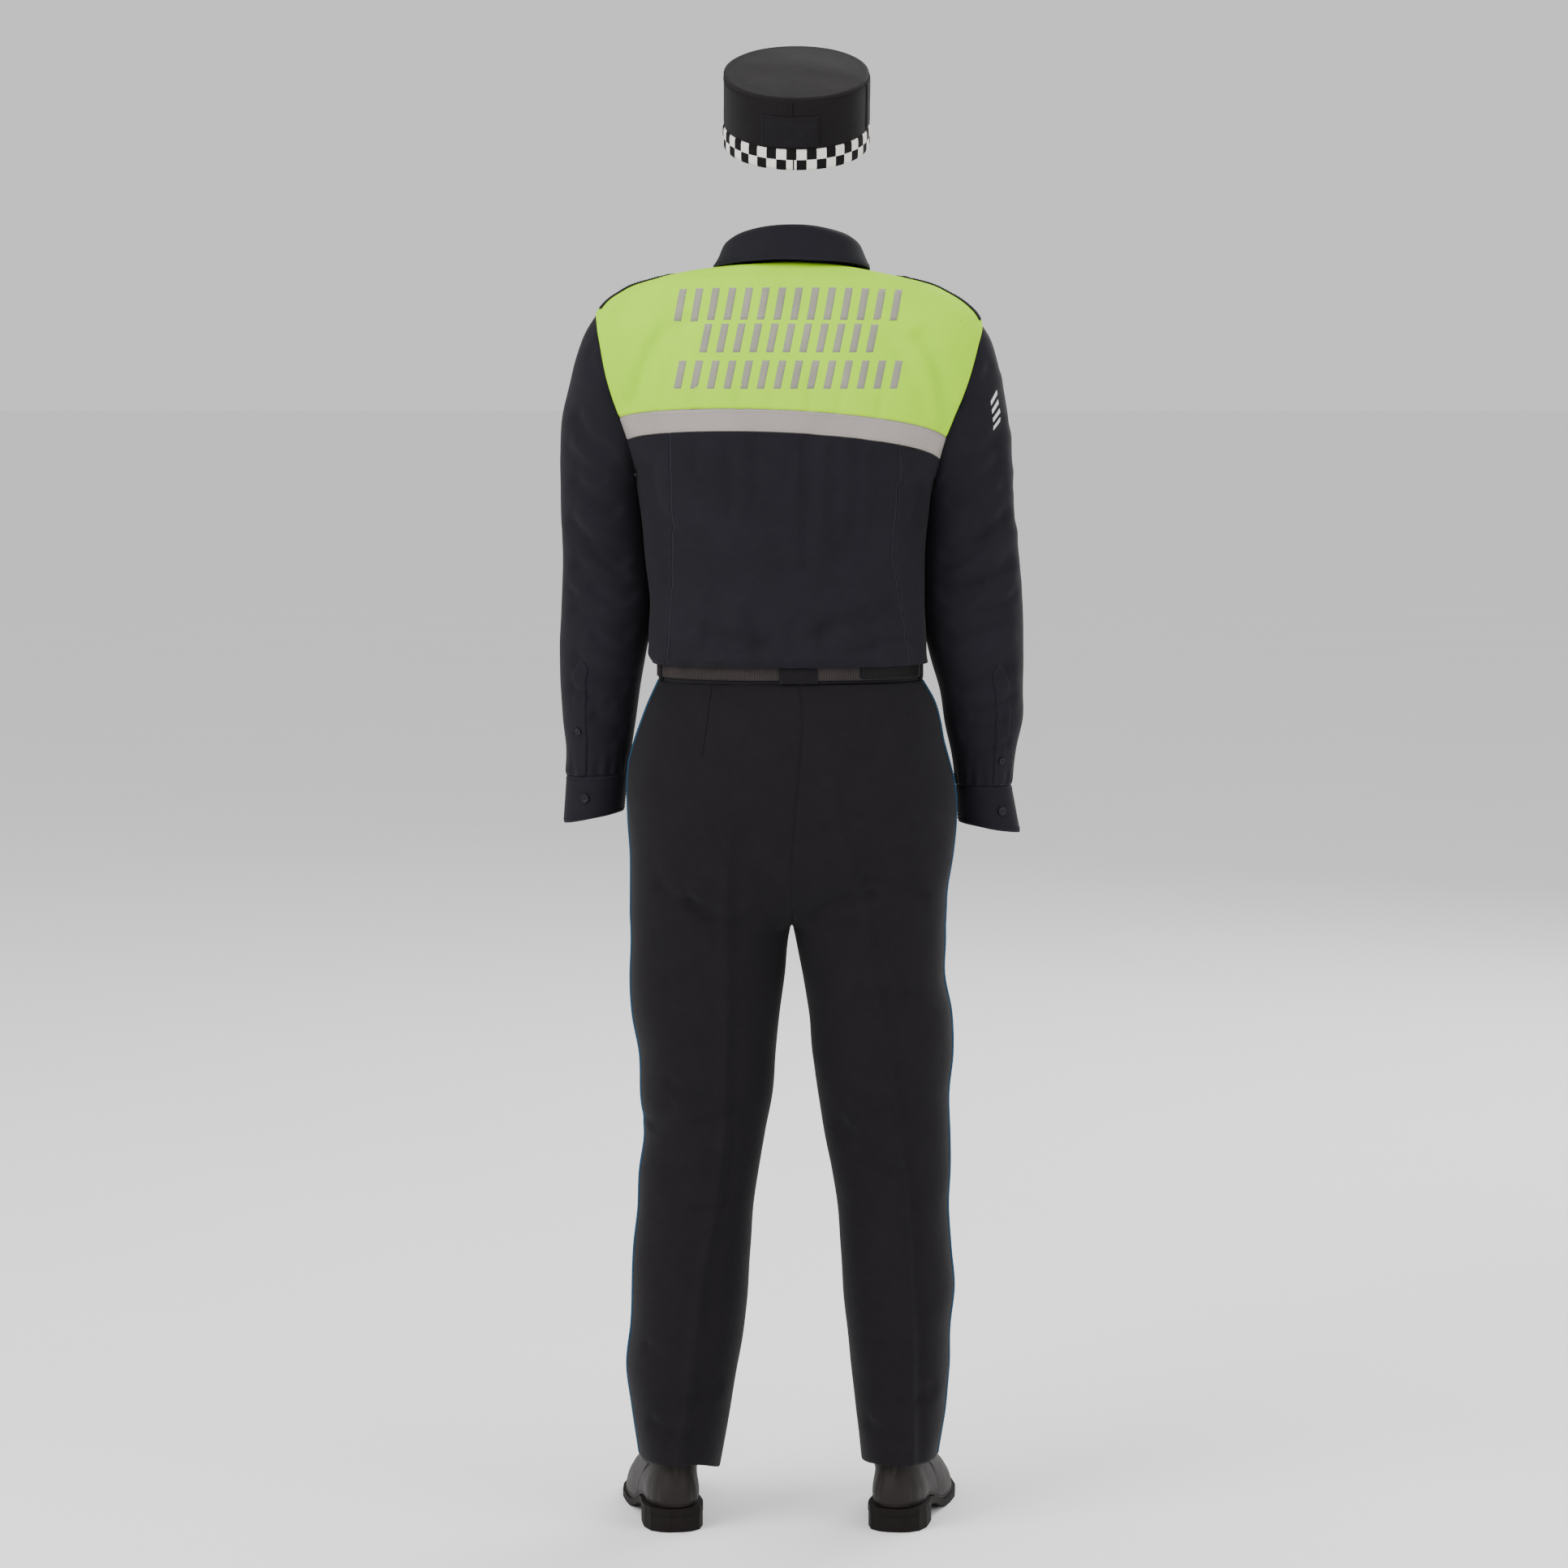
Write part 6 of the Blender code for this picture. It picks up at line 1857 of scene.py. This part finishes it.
@dataclass
class Waist:
    """The waistband, the ribbed belt with its smooth end, the belt loops and the buckle."""

    rib_pitch: float = 3.0
    belt_end: tuple[float, float] = (30.0, 70.0)
    steps: Steps = (0.5, 0.2)

    def ribs(self, points: Points, across: Points, up: Points) -> Points:
        """The webbing's upright ribs."""
        return 0.3 * np.cos(2 * np.pi * across / self.rib_pitch) - 0.3

    def build(self) -> None:
        """Makes the waist's pieces."""
        band = Sheet("waistband_cloth", waist_ring, span(0, 360, WAISTBAND_LOW, WAISTBAND_HIGH), (160, 12), WOOL, 1,
                     self.steps, tube=True, rolled="bt", nodes=("waistband",))
        lift = LAID_ON + BELT_WALL
        belt = Sheet("belt_webbing_strap", waist_ring, span(0, 360, BELT_LOW, BELT_HIGH), (860, 10), WEBBING, 1,
                     self.steps, lift=lift, wall=BELT_WALL - 0.6, tube=True, relief=self.ribs, nodes=("belt",))
        end = Sheet("belt_smooth_end", waist_ring, span(*self.belt_end, BELT_LOW + 0.6, BELT_HIGH - 0.6), (60, 16),
                    BELT_END, 1, self.steps, lift=lift + 0.5, wall=0.5, rolled="lrbt")
        for sheet in (band, belt, end):
            sheet.build()
        for loop in BELT_LOOPS:
            half = math.degrees(loop.width / 2 / WAIST.half_width) * loop.spread
            strip = Sheet(loop.name + "_cloth", loop_profile,
                          span(loop.turn - half, loop.turn + half, LOOP_LOW, LOOP_HIGH), (loop.columns, 40),
                          WOOL, 1, self.steps, lift=1.2, wall=1.2, rolled="lr", nodes=(loop.name,))
            strip.build()
        thread = Stitching("belt_stitching", BLACK_THREAD)
        turns = np.linspace(self.belt_end[0] + 1, self.belt_end[1] - 1, 120)
        for height in (BELT_LOW + 3.5, BELT_HIGH - 3.5):
            thread.row(waist_ring, turns, height, 1, self.steps, lift + 0.8)
        rise = np.linspace(BELT_LOW + 3.5, BELT_HIGH - 3.5, 40)
        for turn in (self.belt_end[0] + 1.5, self.belt_end[0] + 4.5, self.belt_end[1] - 1.5):
            thread.row(waist_ring, turn, rise, 1, self.steps, lift + 0.8)
        thread.build()
        dress("buckle", STEEL)


def dress(node: str, finish: Finish) -> None:
    """Gives a solid that stays its finish."""
    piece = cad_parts[node]
    piece = bpy.data.objects[piece] if isinstance(piece, str) else piece
    for slot in piece.material_slots:
        slot.material = finish.material()


@dataclass
class Shoe:
    """A laced leather shoe."""

    side: Side
    quarter: float = 78.0
    cap_turn: float = 146.0
    laces: int = 5

    def build(self) -> None:
        """Makes the upper, heel strip and laces, and dresses the sole and heel."""
        hand, letter = self.side.value, self.side.letter
        surface, steps = shoe_upper(hand), RING_STEPS
        upper = Sheet(f"shoe_upper_{letter}_leather", surface, span(0, 360, 0, 1), (200, 44), LEATHER, 1, steps,
                      wall=2.0, tube=True, rolled="t", relief=self.seams, nodes=(f"shoe_upper_{letter}",))
        upper.build()
        Sheet(f"heel_strip_{letter}", surface, span(-6.5, 6.5, 0.12, 0.97), (10, 40), LEATHER, 1, steps, lift=1.1,
              wall=1.0, rolled="lr").build()
        for number in range(self.laces):
            up = 0.52 + 0.085 * number
            Sheet(f"lace_{letter}_{number + 1}", surface, span(172, 188, up, up + 0.035), (16, 6), BELT_END, 1, steps,
                  lift=2.2, wall=1.4, rolled="bt").build()
        thread = Stitching(f"shoe_stitching_{letter}", BLACK_THREAD, 2.8, 1.9, 0.5)
        for share in (0.06, 0.93):
            thread.row(surface, np.linspace(0, 360, 500), share, 1, steps, 0.3)
        rise = np.linspace(0.1, 0.92, 80)
        for turn in (self.quarter, 360 - self.quarter):
            for apart in (-2.0, 2.0):
                thread.row(surface, turn + apart + 14 * rise, rise, 1, steps, 0.3)
        for turn in (-8.5, 8.5):
            thread.row(surface, turn, rise, 1, steps, 0.3)
        thread.build()
        dress(f"shoe_sole_{letter}", RUBBER)
        dress(f"shoe_heel_{letter}", RUBBER)

    def seams(self, points: Points, across: Points, up: Points) -> Points:
        """The quarter seams, the toe cap's edge, the top line's roll and soft creases."""
        turn = np.linspace(0, 360, points.shape[0])[:, None] + 0 * up
        share = up / np.maximum(up[:, -1:], 1e-6)
        line = np.minimum(np.abs(turn - self.quarter - 14 * share), np.abs(turn - 360 + self.quarter - 14 * share))
        cap = np.minimum(np.abs(turn - self.cap_turn), np.abs(360 - self.cap_turn - turn))
        creases = 0.5 * np.sin(turn / 2.1) * bell((np.abs(turn - 180) - 48) / 12) * bell((share - 0.35) / 0.25)
        heel = np.minimum(turn, 360 - turn)
        counter = 3.2 * bell((share - 0.3) / 0.32) * bell(heel / 70) * smooth(share / 0.12)
        return (counter + 0.9 * bell((share - 0.97) / 0.05) - 0.7 * bell(line / 0.9) - 0.6 * bell(cap / 0.8)
                + creases)


class Lamp(NamedTuple):
    """A soft square lamp: its place and aim in metres, its width and its watts."""

    name: str
    place: tuple[float, float, float]
    aim: tuple[float, float, float]
    size: float
    power: float


LAMPS = rows_of(Lamp, [
    ("key", (-3.6, -3.4, 2.2), (0, 0, -0.3), 3.6, 300), ("fill", (4.0, -3.2, 0.8), (0, 0, -0.6), 3.6, 110),
    ("top", (0.2, -0.4, 3.4), (0, 0, 0), 3.0, 100), ("front", (2.6, 4.2, 2.2), (0, 0, -0.4), 3.4, 200),
])


@dataclass
class Studio:
    """The floor, the lights and the camera at the photograph's angle."""

    height: float = 0.001
    away: float = -6.5
    across: float = -0.004
    pitch: float = 5.5
    lens: float = 121.7
    reach: float = 80.0
    room_light: float = 0.85

    def build(self) -> None:
        """Sets the scene round the uniform."""
        self.floor()
        self.lights()
        eye = bpy.data.cameras.new("camera")
        eye.lens, eye.sensor_width, eye.clip_end = self.lens, 36.0, 60.0
        camera = linked("camera", eye)
        camera.location = (self.across, self.away, self.height)
        camera.rotation_euler = (math.radians(90 - self.pitch), 0, 0)
        bpy.context.scene.camera = camera

    def floor(self) -> None:
        """A pale plain floor, wide enough to meet the pale room on every side."""
        bm = bmesh.new()
        bmesh.ops.create_grid(bm, x_segments=24, y_segments=24, size=self.reach)
        for vert in bm.verts:
            vert.co.z = -ORIGIN_HEIGHT * MM - 0.0005
        mesh = bpy.data.meshes.new("floor")
        bm.to_mesh(mesh)
        bm.free()
        piece = linked("floor", mesh)
        bench = NodeBench("pale_floor")
        body = bench.add("ShaderNodeTexCoord").outputs["Object"]
        colour = bench.mix(bench.noise(body, 1.5), (0.9, 0.9, 0.9, 1), (0.94, 0.94, 0.94, 1))
        bench.link(colour, bench.shader.inputs["Base Color"])
        bench.shader.inputs["Roughness"].default_value = 0.95
        bench.shader.inputs["Specular IOR Level"].default_value = 0.1
        mesh.materials.append(bench.material)

    def lights(self) -> None:
        """Soft light from both sides, above and the front."""
        for lamp in LAMPS:
            bulb = bpy.data.lights.new(lamp.name, "AREA")
            bulb.size, bulb.energy = lamp.size, lamp.power
            light = linked(lamp.name, bulb)
            light.location = lamp.place
            light.rotation_euler = (Vector(lamp.aim) - Vector(lamp.place)).to_track_quat("-Z", "Y").to_euler()
        world = bpy.data.worlds.new("room")
        world.use_nodes = True
        sky = world.node_tree.nodes["Background"].inputs
        sky["Color"].default_value, sky["Strength"].default_value = (1, 1, 1, 1), self.room_light
        bpy.context.scene.world = world


def main() -> None:
    """Builds the uniform's pieces in order."""
    logging.basicConfig(level=logging.INFO, format="%(message)s")
    Studio().build()
    parts = [Cap(), Shirt(), Collar()]
    for side in Side:
        parts += [Sleeve(side), ShoulderStrap(side), TrouserLeg(side), Shoe(side)]
    parts.append(Waist())
    for part in parts:
        part.build()
        LOG.info("%s is built", type(part).__name__)


if __name__ == "__main__":
    main()
